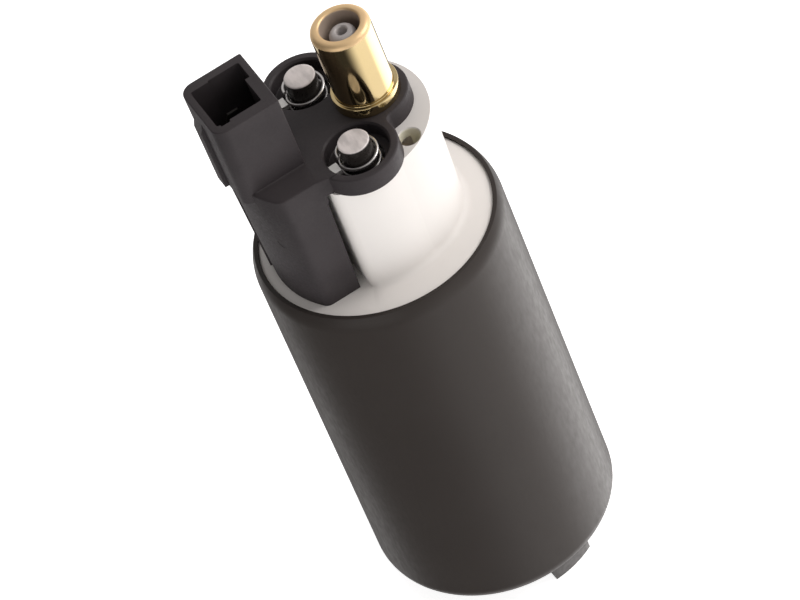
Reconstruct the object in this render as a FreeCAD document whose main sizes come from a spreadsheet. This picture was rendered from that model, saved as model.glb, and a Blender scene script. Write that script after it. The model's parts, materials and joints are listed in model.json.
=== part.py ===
"""In-tank fuel pump with a wet electric motor, a regenerative impeller and a keyed two-way socket.

Millimetres. The origin is on the pump's axis, on the plane that its feet stand on. +Z runs up
the axis to the outlet, the outlet tube stands on the +X side and the socket on the -X side.
"""
import FreeCAD
import Part
import Sketcher
import math
import os
import re

DRIVING_SIZES = [
    # steel case
    ("case_diameter", 38.0, "case, outside"),
    ("case_wall", 1.0, "case, sheet thickness"),
    ("case_length", 67.2, "case, lower edge to lip"),
    ("case_lift", 4.0, "case, height of its lower edge above the feet"),
    ("case_bend", 2.8, "case, outside radius of the foot's bend"),
    ("case_foot", 2.9, "case, width of the foot that is bent in"),
    ("lip_inset", 0.7, "case, how far the lip's outside turns in"),
    ("lip_lean", 0.4, "case, how far the lip's inside leans over the end cap"),
    ("lip_height", 2.8, "case, height over which the lip turns in"),
    # fits
    ("case_fit", 0.05, "gap between the case's bore and what is pressed into it"),
    ("press_gap", 0.02, "gap in a fit between two pieces that don't move apart"),
    ("running_gap", 0.03, "radial gap of the shaft in its bushes"),
    ("slide_gap", 0.1, "gap of a brush, poppet stem or impeller face"),
    # pump stage
    ("foot_height", 2.5, "inlet cover, feet and bosses below its plinth"),
    ("foot_width", 2.0, "inlet cover, a foot's radial width"),
    ("foot_angle", 27.0, "inlet cover, arc of one foot"),
    ("foot_count", 3, "inlet cover, number of feet"),
    ("foot_turn", -74.0, "inlet cover, direction of the first foot"),
    ("centre_boss", 9.0, "inlet cover, centre boss diameter"),
    ("inlet_inset", 3.4, "inlet, distance of its axis inside the channel's centreline"),
    ("inlet_turn", 106.0, "inlet, direction from the axis"),
    ("inlet_bore", 6.4, "inlet, bore diameter"),
    ("inlet_wall", 1.6, "inlet, wall round the bore"),
    ("cover_thickness", 4.0, "inlet cover, above the case's foot"),
    ("channel_inset", 1.8, "flow channel, distance of its centreline inside the impeller's rim"),
    ("channel_width", 3.2, "flow channel, width"),
    ("channel_lead", 10.0, "flow channel, arc from its end to the middle of a port"),
    ("channel_sweep", 300.0, "flow channel, arc from inlet to outlet"),
    ("chamber_wall", 1.85, "pump chamber, wall round the impeller"),
    ("impeller_thickness", 3.7, "impeller, thickness"),
    ("impeller_gap", 0.3, "impeller, gap round its rim"),
    ("vane_count", 30, "impeller, number of vanes"),
    ("vane_depth", 3.1, "impeller, radial depth of a vane slot"),
    ("vane_slot", 2.0, "impeller, width of a vane slot"),
    ("vane_web", 0.9, "impeller, thickness of the web between the slots"),
    ("chamber_height", 8.5, "pump chamber, whole height"),
    ("chamber_web", 2.7, "pump chamber, thickness of the roof over the impeller"),
    ("chamber_rim", 1.6, "pump chamber, width of the rim that carries the flux ring"),
    ("chamber_hub", 13.0, "pump chamber, hub diameter"),
    # motor
    ("shaft_diameter", 4.0, "armature shaft"),
    ("shaft_flat", 0.5, "armature shaft, depth of the flat that drives the impeller"),
    ("button_diameter", 5.0, "thrust button, diameter"),
    ("button_height", 1.5, "thrust button, height"),
    ("bush_wall", 1.6, "bushes, wall"),
    ("lower_bush_height", 4.3, "lower bush, height"),
    ("upper_bush_height", 5.0, "upper bush, height"),
    ("upper_bush_lift", 1.0, "upper bush, height of its foot above the commutator"),
    ("hub_wall", 1.2, "end cap, wall round the upper bush"),
    ("flux_ring_wall", 1.5, "flux ring, wall"),
    ("magnet_thickness", 2.7, "magnets, radial thickness"),
    ("magnet_drop", 6.0, "magnets, distance of their top below the flux ring's top"),
    ("magnet_arc", 140.0, "magnets, arc of one"),
    ("magnet_lift", 2.5, "magnets, height of their foot above the pump chamber"),
    ("clip_sheet", 0.5, "magnet clips, sheet thickness"),
    ("air_gap", 0.5, "gap between magnets and armature core"),
    ("core_lift", 6.5, "armature core, height of its foot above the pump chamber"),
    ("slot_count", 8, "armature core, number of slots"),
    ("slot_diameter", 4.6, "armature core, round part of a slot"),
    ("slot_mouth", 1.4, "armature core, width of a slot's mouth"),
    ("slot_circle", 17.6, "armature core, circle of the slots' centres"),
    ("winding_end", 4.0, "winding, height of the end turns"),
    ("winding_gap", 0.15, "winding, gap to the core"),
    ("spacer_wall", 1.2, "spacer sleeve, wall"),
    ("commutator_diameter", 20.0, "commutator, outside"),
    ("commutator_height", 3.0, "commutator, disc thickness"),
    ("commutator_lift", 1.4, "commutator, height of the disc's foot above the winding"),
    ("commutator_hub", 9.0, "commutator, hub diameter"),
    ("commutator_slit", 0.6, "commutator, slit between two segments"),
    ("commutator_slit_depth", 1.4, "commutator, depth of a slit"),
    # brushes
    ("brush_offset", 7.0, "brushes, distance from the axis"),
    ("brush_width", 4.0, "brushes, across"),
    ("brush_depth", 5.0, "brushes, along the radius"),
    ("brush_height", 10.0, "brushes, length when new"),
    ("brush_travel", 3.0, "brushes, travel back into the tunnel"),
    ("tunnel_lift", 1.5, "brush tunnel, height of its mouth above the commutator"),
    ("tunnel_length", 5.75, "brush tunnel, length below the end cap's underside"),
    ("tunnel_wall", 1.4, "brush tunnel, wall"),
    ("brush_spring_room", 5.95, "brush tunnel, room for the spring behind a brush pushed back"),
    ("lead_diameter", 0.7, "brush lead"),
    ("lead_offset", 5.1, "brush lead, distance from the axis"),
    ("lead_root", 1.5, "brush lead, depth inside the brush"),
    ("brush_wire", 0.4, "brush spring, wire"),
    ("brush_coil", 3.0, "brush spring, mean diameter"),
    ("brush_coil_shift", 0.3, "brush spring, shift away from the lead"),
    # outlet end cap
    ("lip_reach", 0.4, "end cap, depth of the flange below the lip"),
    ("flange_thickness", 9.0, "end cap, solid depth below the flange"),
    ("skirt_depth", 5.8, "end cap, depth of the skirt down to the flux ring"),
    ("skirt_wall", 2.0, "end cap, wall of the skirt"),
    ("flange_edge", 0.8, "end cap, rounding of the flange's edge"),
    ("seal_section", 1.6, "seal ring, section diameter"),
    ("seal_depth", 3.6, "seal ring, depth of its centre below the flange"),
    ("dome_height", 20.35, "end cap, height of the dome above the flange"),
    ("dome_foot_radius", 12.2, "end cap, dome radius at the flange"),
    ("dome_draft", 0.6, "end cap, how much the dome widens to its top"),
    ("dome_hollow", 1.5, "end cap, rounding where the dome's two round sides meet"),
    ("dome_boss_shift", 1.9, "end cap, centre of the dome's outlet side beside the axis"),
    ("dome_boss_inset", 0.5, "end cap, how much the outlet side's radius is smaller than the dome's"),
    ("dome_flat", 6.3, "end cap, distance of the dome's flat from the axis"),
    ("dome_corner", 2.0, "end cap, rounding of the flat's two upright edges"),
    ("dome_fillet", 0.8, "end cap, fillet at the dome's foot"),
    # outlet tube and check valve
    ("outlet_offset", 6.4, "outlet tube, distance from the axis"),
    ("outlet_diameter", 8.9, "outlet tube, outside"),
    ("outlet_bore", 5.9, "outlet tube, bore"),
    ("outlet_rim", 0.9, "outlet tube, rounding of its mouth"),
    ("outlet_reach", 12.55, "outlet tube, length above the collar"),
    ("passage_bore", 6.0, "end cap, outlet passage below the tube"),
    ("outlet_root", 9.0, "outlet tube, length inside the dome"),
    ("outlet_seat", 2.0, "outlet tube, thickness of the valve seat"),
    ("seat_bore", 3.6, "outlet tube, bore of the valve seat"),
    ("collar_diameter", 10.0, "outlet tube, collar"),
    ("collar_height", 1.75, "outlet tube, height of the collar"),
    ("poppet_diameter", 4.4, "check valve, poppet head"),
    ("poppet_height", 2.2, "check valve, poppet head"),
    ("stem_diameter", 1.4, "check valve, poppet stem"),
    ("poppet_lift", 1.5, "check valve, travel"),
    ("cage_hub", 3.3, "check valve, diameter of the cage's hub"),
    ("cage_nose_height", 3.0, "check valve, height of the cage's nose"),
    ("cage_edge", 1.0, "check valve, rounding of the cage's nose"),
    ("cage_depth", 1.2, "check valve, depth of the cage's nose below the tube's rim"),
    ("cage_height", 11.0, "check valve, height of the cage"),
    ("nose_diameter", 4.0, "check valve, cage's nose"),
    ("cage_rib", 1.1, "check valve, width of a cage rib"),
    ("valve_wire", 0.35, "check valve spring, wire"),
    ("valve_coil", 2.7, "check valve spring, mean diameter"),
    # relief valve
    ("relief_offset", 9.6, "relief valve, distance from the axis"),
    ("relief_turn", -49.0, "relief valve, direction from the axis"),
    ("relief_bore", 3.8, "relief valve, bore"),
    ("relief_rise", 10.3, "relief valve, height of the seat's foot above the end cap's underside"),
    ("relief_seat_height", 2.5, "relief valve, height of the seat"),
    ("relief_seat_bore", 1.8, "relief valve, bore of the seat"),
    ("relief_ball", 2.8, "relief valve, ball diameter"),
    ("relief_lift", 1.2, "relief valve, travel"),
    ("relief_plug_height", 2.0, "relief valve, height of the plug"),
    ("relief_plug_bore", 1.4, "relief valve, bore of the plug"),
    ("relief_spring_room", 6.3, "relief valve, room for the spring behind the lifted ball"),
    ("relief_wire", 0.35, "relief valve spring, wire"),
    ("relief_coil", 2.4, "relief valve spring, mean diameter"),
    ("vent_offset", 12.4, "vent pocket, distance of its centre from the axis"),
    ("vent_diameter", 3.4, "vent pocket"),
    ("vent_depth", 3.4, "vent pocket, depth below the plate"),
    # connector housing
    ("plate_thickness", 3.1, "housing, plate"),
    ("lobe_radius", 6.15, "housing, lobes round the chokes"),
    ("outlet_lobe_radius", 6.0, "housing, lobe round the outlet"),
    ("web_half_width", 10.6, "housing, half the width of the web at the lobes"),
    ("lobe_fillet", 1.2, "housing, rounding between two lobes"),
    ("choke_offset", 8.36, "chokes, distance from the axis"),
    ("well_diameter", 9.55, "housing, well round a choke"),
    ("well_depth", 2.4, "housing, depth of a well's floor"),
    ("column_half_width", 10.1, "housing, half the column's width at the plate"),
    ("column_inset", 2.3, "housing, the column's outer face inside the case's, at the plate"),
    ("column_inside", 6.9, "housing, distance of the column's inner face at the plate"),
    ("column_draft", 0.7, "housing, how much the column narrows to its foot"),
    ("tower_height", 13.75, "housing, tower above the plate"),
    ("tower_root", 1.7, "housing, how far the tower's outer wall runs below the plate's top"),
    ("tower_half_width", 6.1, "housing, half the tower's width"),
    ("tower_proud", 0.4, "housing, the tower's outer face beyond the column's"),
    ("tower_corner", 2.0, "housing, rounding of the tower's outer edges"),
    ("socket_half_width", 4.3, "socket, half the cavity's width"),
    ("socket_wall", 1.1, "socket, wall outside the cavity"),
    ("socket_inside", 8.75, "socket, distance of the cavity's inner wall"),
    ("socket_step", 0.25, "socket, depth of the step in one side wall"),
    ("socket_step_inset", 3.0, "socket, distance of the step from the cavity's outer wall"),
    ("socket_notch", 0.4, "socket, depth of the notch in the other side wall"),
    ("socket_notch_inset", 0.5, "socket, distance of the notch from the cavity's outer wall"),
    ("socket_notch_width", 1.5, "socket, width of the notch"),
    ("socket_key", 0.8, "socket, depth of the key groove in the inner wall"),
    ("socket_key_start", 0.9, "socket, distance of the key groove's side from the middle"),
    ("socket_depth", 11.5, "socket, depth"),
    ("latch_width", 2.6, "housing, latch rib's width"),
    ("latch_shift", 1.5, "housing, latch rib's middle beside the tower's middle"),
    ("latch_proud", 0.6, "housing, latch rib's height"),
    ("latch_length", 13.0, "housing, latch rib's length"),
    ("latch_drop", 2.4, "housing, latch rib's start below the tower's top"),
    # terminals
    ("blade_offset", 12.0, "terminals, distance of a blade from the axis"),
    ("blade_pitch", 4.2, "terminals, distance between the blades"),
    ("blade_width", 2.8, "terminals, blade width"),
    ("blade_thickness", 0.8, "terminals, sheet thickness"),
    ("blade_reach", 6.4, "terminals, blade above the socket's floor"),
    ("bar_depth", 1.2, "terminals, depth of the bar's top below the plate's top"),
    ("bar_width", 2.4, "terminals, width of the bar in the plate"),
    ("bar_tab_width", 1.8, "terminals, width of the tab"),
    ("bar_elbow", 5.8, "terminals, distance of the bar's elbow from the axis"),
    ("bar_tab", 1.15, "terminals, how far the tab stands into the choke's well"),
    # chokes
    ("choke_core_diameter", 4.75, "choke core"),
    ("choke_core_length", 11.0, "choke core"),
    ("choke_proud", 1.65, "choke core, height above the plate's top"),
    ("choke_core_edge", 0.3, "choke core, rounding of its ends"),
    ("choke_wire", 0.55, "choke coil, wire"),
    ("choke_coil", 5.75, "choke coil, mean diameter"),
    ("choke_turns", 5, "choke coil, turns"),
    ("choke_drop", 1.5, "choke coil, top below the core's top"),
    ("choke_well_gap", 0.35, "end cap, gap between the coil and its well"),
]

doc = FreeCAD.newDocument("fuel_pump")
sheet = doc.addObject("Spreadsheet::Sheet", "Sizes")
for row, (alias, number, note) in enumerate(DRIVING_SIZES, start=1):
    sheet.set(f"A{row}", note)
    sheet.set(f"B{row}", str(number))
    sheet.setAlias(f"B{row}", alias)
doc.recompute()
ALIASES = {alias for alias, number, note in DRIVING_SIZES}


# How an expression is written and read

def full(text):
    """The expression with each size's name led by the sheet's name."""
    return re.sub(r"[a-z_]+", lambda m: "Sizes." + m[0] if m[0] in ALIASES else m[0], str(text))


def value(text):
    """The number that an expression gives now."""
    return float(sheet.evalExpression(full(text)))


def bind(thing, **sizes):
    """Binds properties of an object to expressions."""
    for name, text in sizes.items():
        thing.setExpression(name, full(text))


def place(thing, x="0", y="0", z="0", turn=None):
    """Binds an object's position, and its turn about the vertical, to expressions."""
    for axis, text in zip("xyz", (x, y, z)):
        if text != "0":
            thing.setExpression(f"Placement.Base.{axis}", full(text))
    if turn is not None:
        thing.Placement.Rotation = FreeCAD.Rotation(FreeCAD.Vector(0, 0, 1), 1.0)
        thing.setExpression("Placement.Rotation.Angle", full(turn))
    return thing


# Heights of the seats and faces along the axis

CASE_RADIUS = "(case_diameter/2)"
CASE_BORE = "(case_diameter/2 - case_wall)"
PRESSED = "(case_diameter/2 - case_wall - case_fit)"
CASE_FLOOR = "(case_lift + case_wall)"
CASE_MOUTH = "(case_diameter/2 - case_foot)"
CASE_TOP = "(case_lift + case_length)"
COVER_TOP = f"({CASE_FLOOR} + cover_thickness)"
ROOF = f"({COVER_TOP} + impeller_thickness + 2*slide_gap)"
CHAMBER_TOP = f"({COVER_TOP} + chamber_height)"
IMPELLER_RADIUS = f"({PRESSED} - chamber_wall - impeller_gap)"
CHANNEL_RADIUS = f"({IMPELLER_RADIUS} - channel_inset)"
FLANGE_TOP = f"({CASE_TOP} - lip_reach)"
CAP_UNDERSIDE = f"({FLANGE_TOP} - flange_thickness)"
FLUX_TOP = f"({CAP_UNDERSIDE} - skirt_depth)"
FLUX_BORE = f"({PRESSED} - flux_ring_wall)"
MAGNET_BORE = f"({FLUX_BORE} - case_fit - magnet_thickness)"
CORE_RADIUS = f"({MAGNET_BORE} - air_gap)"
TUNNEL_FOOT = f"({CAP_UNDERSIDE} - tunnel_length)"
COMMUTATOR_TOP = f"({TUNNEL_FOOT} - tunnel_lift)"
COMMUTATOR_FOOT = f"({COMMUTATOR_TOP} - commutator_height)"
WINDING_TOP = f"({COMMUTATOR_FOOT} - commutator_lift)"
CORE_TOP = f"({WINDING_TOP} - winding_end - winding_gap)"
CORE_FOOT = f"({CHAMBER_TOP} + core_lift)"
BRUSH_FOOT = f"({COMMUTATOR_TOP} + case_fit)"
BRUSH_TOP = f"({BRUSH_FOOT} + brush_height)"
TUNNEL_ROOF = f"({BRUSH_TOP} + brush_travel + brush_spring_room)"
UPPER_BUSH_FOOT = f"({COMMUTATOR_TOP} + upper_bush_lift)"
SHAFT_TOP = f"({UPPER_BUSH_FOOT} + upper_bush_height + 0.6)"
SHAFT_RADIUS = "(shaft_diameter/2)"
BUSH_BORE = "(shaft_diameter/2 + running_gap)"
BUSH_RADIUS = "(shaft_diameter/2 + bush_wall)"
BUTTON_FOOT = CASE_FLOOR
BUTTON_TOP = f"({BUTTON_FOOT} + button_height)"
DOME_TOP = f"({FLANGE_TOP} + dome_height)"
PLATE_TOP = f"({DOME_TOP} + plate_thickness)"
TOWER_TOP = f"({PLATE_TOP} + tower_height)"
OUTLET_TOP = f"({PLATE_TOP} + collar_height + outlet_reach)"
OUTLET_FOOT = f"({DOME_TOP} - outlet_root)"
SEAT_TOP = f"({OUTLET_FOOT} + outlet_seat)"
POPPET_TOP = f"({SEAT_TOP} + poppet_height)"
CAGE_TOP = f"({OUTLET_TOP} - cage_depth)"
CAGE_FOOT = f"({CAGE_TOP} - cage_height)"
CHOKE_TOP = f"({PLATE_TOP} + choke_proud)"
CHOKE_FOOT = f"({CHOKE_TOP} - choke_core_length)"
CHOKE_WELL = "(choke_coil/2 + choke_wire/2 + choke_well_gap)"
COIL_RISE = "(choke_core_length - choke_drop - 2*choke_wire)"
COIL_FOOT = f"({CHOKE_TOP} - choke_drop - {COIL_RISE} - choke_wire/2)"
RELIEF_FOOT = f"({CAP_UNDERSIDE} + relief_rise)"
RELIEF_SEAT = f"({RELIEF_FOOT} + relief_seat_height)"


# How a sketch and a body are made

def plane_of(body, role):
    """The body's own origin plane with that role."""
    return next(f for f in body.Origin.OriginFeatures if f.Role == role)


def new_sketch(body, role, height="0"):
    """A sketch on one of the body's planes, raised by an expression."""
    sketch = body.newObject("Sketcher::SketchObject", body.Name + "_sketch")
    sketch.AttachmentSupport = (plane_of(body, role), [""])
    sketch.MapMode = "FlatFace"
    if height != "0":
        sketch.setExpression("AttachmentOffset.Base.z", full(height))
    return sketch


def hold(sketch, kind, *where, text):
    """Adds a constraint whose number is bound to an expression."""
    index = sketch.addConstraint(Sketcher.Constraint(kind, *where, value(text)))
    sketch.setExpression(f"Constraints[{index}]", full(text))


def locate(sketch, geometry, point, x, y):
    """Holds a point of the sketch at two expressions; "0" puts it on the axis."""
    for kind, text, axis in (("DistanceX", x, -2), ("DistanceY", y, -1)):
        if text == "0":
            sketch.addConstraint(Sketcher.Constraint("PointOnObject", geometry, point, axis))
        else:
            hold(sketch, kind, -1, 1, geometry, point, text=text)


def arc_between(start, end, radius, side):
    """The arc from start to end with its centre to the left (side 1) or right (side -1)."""
    chord = end - start
    reach = math.sqrt(max(radius ** 2 - chord.Length ** 2 / 4, 0.0))
    left = FreeCAD.Vector(-chord.y, chord.x, 0).normalize()
    centre = (start + end) * 0.5 + left * reach * side
    first, last = (start, end) if side > 0 else (end, start)
    angles = [math.atan2(p.y - centre.y, p.x - centre.x) for p in (first, last)]
    circle = Part.Circle(centre, FreeCAD.Vector(0, 0, 1), radius)
    return Part.ArcOfCircle(circle, angles[0], angles[1])


def outline(sketch, corners, bends=None):
    """A closed outline through corners given as expressions.

    bends maps an edge's number to (radius, side) and makes it an arc.
    """
    bends = bends or {}
    points = [FreeCAD.Vector(value(x), value(y), 0) for x, y in corners]
    ends = []
    for i, start in enumerate(points):
        end = points[(i + 1) % len(points)]
        if i in bends:
            radius, side = bends[i]
            edge = sketch.addGeometry(arc_between(start, end, value(radius), side))
            ends.append((edge, 1, 2) if side > 0 else (edge, 2, 1))
        else:
            edge = sketch.addGeometry(Part.LineSegment(start, end))
            ends.append((edge, 1, 2))
    for i, (edge, first, last) in enumerate(ends):
        following, start, _ = ends[(i + 1) % len(ends)]
        sketch.addConstraint(Sketcher.Constraint("Coincident", edge, last, following, start))
    for i, (edge, first, last) in enumerate(ends):
        locate(sketch, edge, first, *corners[i])
    for i, (radius, side) in bends.items():
        hold(sketch, "Radius", ends[i][0], text=radius)


def disc(sketch, radius, x="0", y="0"):
    """A full circle in the sketch."""
    centre = FreeCAD.Vector(value(x), value(y), 0)
    edge = sketch.addGeometry(Part.Circle(centre, FreeCAD.Vector(0, 0, 1), value(radius)))
    locate(sketch, edge, 3, x, y)
    hold(sketch, "Radius", edge, text=radius)


def turned(name, corners, bends=None):
    """A body turned about the vertical axis from an outline of radius and height."""
    body = doc.addObject("PartDesign::Body", name)
    sketch = new_sketch(body, "XZ_Plane")
    outline(sketch, corners, bends)
    solid = body.newObject("PartDesign::Revolution", name + "_turned")
    solid.Profile = sketch
    solid.ReferenceAxis = (sketch, ["V_Axis"])
    solid.Angle = 360
    sketch.Visibility = False
    return body


def tube(name, outer, inner, low, high):
    """A turned ring with square edges."""
    return turned(name, [(inner, low), (outer, low), (outer, high), (inner, high)])


def padded(name, height, draw, length):
    """A body drawn in plan at a height and raised by a length."""
    body = doc.addObject("PartDesign::Body", name)
    sketch = new_sketch(body, "XY_Plane", height)
    draw(sketch)
    solid = body.newObject("PartDesign::Pad", name + "_pad")
    solid.Profile = sketch
    bind(solid, Length=length)
    sketch.Visibility = False
    return body


def profiled(name, corners, far, width):
    """A body with an outline of x and z, from the y expression far back to far less width."""
    body = doc.addObject("PartDesign::Body", name)
    sketch = new_sketch(body, "XZ_Plane")
    outline(sketch, corners)
    solid = body.newObject("PartDesign::Pad", name + "_pad")
    solid.Profile = sketch
    bind(solid, Length=width)
    sketch.Visibility = False
    return place(body, y=far)


def pocketed(body, height, draw, depth):
    """Cuts an outline, drawn in plan at a height, downwards into the body."""
    sketch = new_sketch(body, "XY_Plane", height)
    draw(sketch)
    cut = body.newObject("PartDesign::Pocket", body.Name + "_pocket")
    cut.Profile = sketch
    bind(cut, Length=depth)
    sketch.Visibility = False
    return cut


def repeated(body, feature, count):
    """Repeats a feature round the vertical axis."""
    ring = body.newObject("PartDesign::PolarPattern", feature.Name + "_ring")
    ring.Originals = [feature]
    ring.Axis = (next(f for f in body.Origin.OriginFeatures if f.Role == "Z_Axis"), [""])
    ring.Angle = 360
    ring.Occurrences = int(value(count))
    bind(ring, Occurrences=count)
    body.Tip = ring
    return ring


# Plain solids and how they are joined

def cylinder(name, radius, low, high, x="0", y="0"):
    """An upright cylinder between two heights."""
    solid = doc.addObject("Part::Cylinder", name)
    bind(solid, Radius=radius, Height=f"{high} - {low}")
    return place(solid, x, y, low)


def cone(name, foot, head, low, high, x="0"):
    """An upright cone between two heights."""
    solid = doc.addObject("Part::Cone", name)
    bind(solid, Radius1=foot, Radius2=head, Height=f"{high} - {low}")
    return place(solid, x, "0", low)


def block(name, x_range, y_range, z_range):
    """A box between pairs of expressions."""
    solid = doc.addObject("Part::Box", name)
    (x0, x1), (y0, y1), (z0, z1) = x_range, y_range, z_range
    bind(solid, Length=f"({x1}) - ({x0})", Width=f"({y1}) - ({y0})", Height=f"({z1}) - ({z0})")
    return place(solid, x0, y0, z0)


def sector(name, outer, inner, low, high, sweep, turn):
    """A piece of a ring: sweep degrees of it, centred on the direction turn."""
    shell = cylinder(name + "_outer", outer, low, high)
    bind(shell, Angle=sweep)
    place(shell, z=low, turn=f"{turn} - ({sweep})/2")
    return less(name, shell, [cylinder(name + "_inner", inner, low, high)])


def direction(offset, turn):
    """The x and y expressions of a point at an offset from the axis in a direction."""
    return f"({offset}*cos(({turn})*1deg))", f"({offset}*sin(({turn})*1deg))"


def less(name, base, tools):
    """The base with the tools cut away."""
    solid = doc.addObject("Part::Cut", name)
    solid.Base = base
    solid.Tool = tools[0] if len(tools) == 1 else joined(name + "_tools", tools)
    return solid


def joined(name, solids):
    """Several solids as one."""
    solid = doc.addObject("Part::MultiFuse", name)
    solid.Shapes = solids
    solid.Refine = True
    return solid


def rounded(name, base, radius, chosen):
    """Rounds the edges between two faces of a solid that the test picks."""
    doc.recompute()
    shape = base.Shape
    size = value(radius)
    picked = []
    for i, edge in enumerate(shape.Edges, start=1):
        faces = shape.ancestorsOfType(edge, Part.Face)
        if len(faces) == 2 and not faces[0].isSame(faces[1]) and chosen(edge):
            picked.append((i, size, size))
    solid = doc.addObject("Part::Fillet", name)
    solid.Base = base
    solid.Edges = picked
    return solid


def upright(edge):
    """True if an edge climbs, straight up or with a moulding's draft."""
    first, last = edge.Vertexes[0].Point, edge.Vertexes[-1].Point
    return math.hypot(first.x - last.x, first.y - last.y) < abs(first.z - last.z) / 4


def level(edge, height):
    """True if a whole edge lies at a height."""
    box = edge.BoundBox
    return abs(box.ZMin - height) < 1e-4 and abs(box.ZMax - height) < 1e-4


def group(name, solids):
    """Separate solids that share one node."""
    made = doc.addObject("Part::Compound", name)
    made.Links = solids
    return made


# Steel case

def pump_case():
    """The can: its foot is bent in and its lip is turned in over the end cap."""
    lean_height = "(lip_reach + flange_edge)"
    corners = [
        (CASE_MOUTH, "case_lift"),
        (f"{CASE_RADIUS} - case_bend", "case_lift"),
        (CASE_RADIUS, "case_lift + case_bend"),
        (CASE_RADIUS, f"{CASE_TOP} - lip_height"),
        (f"{CASE_RADIUS} - lip_inset", CASE_TOP),
        (f"{CASE_BORE} - lip_lean", CASE_TOP),
        (CASE_BORE, f"{CASE_TOP} - {lean_height}"),
        (CASE_BORE, "case_lift + case_bend"),
        (f"{CASE_RADIUS} - case_bend", CASE_FLOOR),
        (CASE_MOUTH, CASE_FLOOR),
    ]
    shoulder = "(lip_inset^2 + lip_height^2)/(2*lip_inset)"
    lean = f"(lip_lean^2 + {lean_height}^2)/(2*lip_lean)"
    bends = {1: ("case_bend", 1), 3: (shoulder, 1), 5: (lean, -1),
             7: ("case_bend - case_wall", -1)}
    return turned("pump_case", corners, bends)


# Pump stage

INLET_X, INLET_Y = direction(f"({CHANNEL_RADIUS} - inlet_inset)", "inlet_turn")


def flow_channel(name, height):
    """The half round ring channel, open between its outlet end and the inlet."""
    ring = doc.addObject("Part::Torus", name)
    bind(ring, Radius1=CHANNEL_RADIUS, Radius2="channel_width/2", Angle3="channel_sweep")
    return place(ring, z=height, turn="inlet_turn - channel_lead")


def inlet_cover():
    """Disc with the lower half of the channel, a plinth through the case's mouth, and feet."""
    plinth = f"({CASE_MOUTH} - slide_gap - case_fit)"
    corners = [
        ("0", "foot_height"),
        (plinth, "foot_height"),
        (plinth, f"{CASE_FLOOR} + case_fit"),
        (f"{CASE_RADIUS} - case_bend", f"{CASE_FLOOR} + case_fit"),
        (PRESSED, "case_lift + case_bend"),
        (PRESSED, COVER_TOP),
        ("0", COVER_TOP),
    ]
    disc_body = turned("cover_disc", corners, {3: ("case_bend - case_wall - case_fit", 1)})
    count = int(value("foot_count"))
    feet = [
        sector(f"cover_foot_{i}", plinth, f"({plinth} - foot_width)", "0", "foot_height",
               "foot_angle", f"foot_turn + {i}*360/foot_count")
        for i in range(count)
    ]
    boss = cylinder("cover_boss", "centre_boss/2", "0", "foot_height")
    nozzle = cylinder("cover_nozzle", "inlet_bore/2 + inlet_wall", "0", "foot_height",
                      INLET_X, INLET_Y)
    whole = joined("cover_blank", [disc_body, boss, nozzle] + feet)
    bore = cylinder("cover_bore", "inlet_bore/2", "(-foot_height)",
                    f"({COVER_TOP} - channel_width/4)", INLET_X, INLET_Y)
    pocket = cylinder("cover_pocket", "button_diameter/2 + press_gap", BUTTON_FOOT,
                      f"({COVER_TOP} + button_height)")
    return less("inlet_cover", whole, [bore, pocket, flow_channel("cover_channel", COVER_TOP)])


def pump_chamber():
    """Cup over the impeller with the channel's upper half, the outlet port and the hub."""
    seat = f"({BUSH_RADIUS} + press_gap)"
    recess = f"({IMPELLER_RADIUS} + impeller_gap)"
    rim = f"({PRESSED} - chamber_rim)"
    web_top = f"({ROOF} + chamber_web)"
    corners = [
        (recess, COVER_TOP),
        (PRESSED, COVER_TOP),
        (PRESSED, CHAMBER_TOP),
        (rim, CHAMBER_TOP),
        (rim, web_top),
        ("chamber_hub/2", web_top),
        ("chamber_hub/2", CHAMBER_TOP),
        (seat, CHAMBER_TOP),
        (seat, ROOF),
        (recess, ROOF),
    ]
    port_x, port_y = direction(CHANNEL_RADIUS, "inlet_turn + channel_sweep - 2*channel_lead")
    port = cylinder("chamber_port", "channel_width/2", ROOF, f"({web_top} + chamber_web)",
                    port_x, port_y)
    return less("pump_chamber", turned("chamber_cup", corners),
                [flow_channel("chamber_channel", ROOF), port])


def impeller():
    """Regenerative impeller: slots cut through the rim, a thin web ring between their halves."""
    foot = f"({COVER_TOP} + slide_gap)"
    radius = IMPELLER_RADIUS
    bore = f"({SHAFT_RADIUS} + press_gap)"

    def plan(sketch):
        disc(sketch, radius)
        disc(sketch, bore)

    def slot(sketch):
        root, tip, half = f"{radius} - vane_depth", f"{radius} + vane_depth", "vane_slot/2"
        outline(sketch, [(root, f"-{half}"), (tip, f"-{half}"), (tip, half), (root, half)])

    blank = padded("impeller_disc", foot, plan, "impeller_thickness")
    repeated(blank, pocketed(blank, f"{foot} + impeller_thickness", slot, "impeller_thickness"),
             "vane_count")
    middle = f"({foot} + impeller_thickness/2)"
    web = tube("impeller_web", f"({radius} - vane_depth/2)", f"({radius} - vane_depth - vane_web)",
               f"({middle} - vane_web/2)", f"({middle} + vane_web/2)")
    flat = block("impeller_flat",
                 (f"({SHAFT_RADIUS} - shaft_flat + press_gap)", f"({SHAFT_RADIUS} + shaft_flat)"),
                 (f"(-{SHAFT_RADIUS})", SHAFT_RADIUS), (foot, f"({foot} + impeller_thickness)"))
    return joined("impeller", [blank, web, flat])


# Rotor

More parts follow.
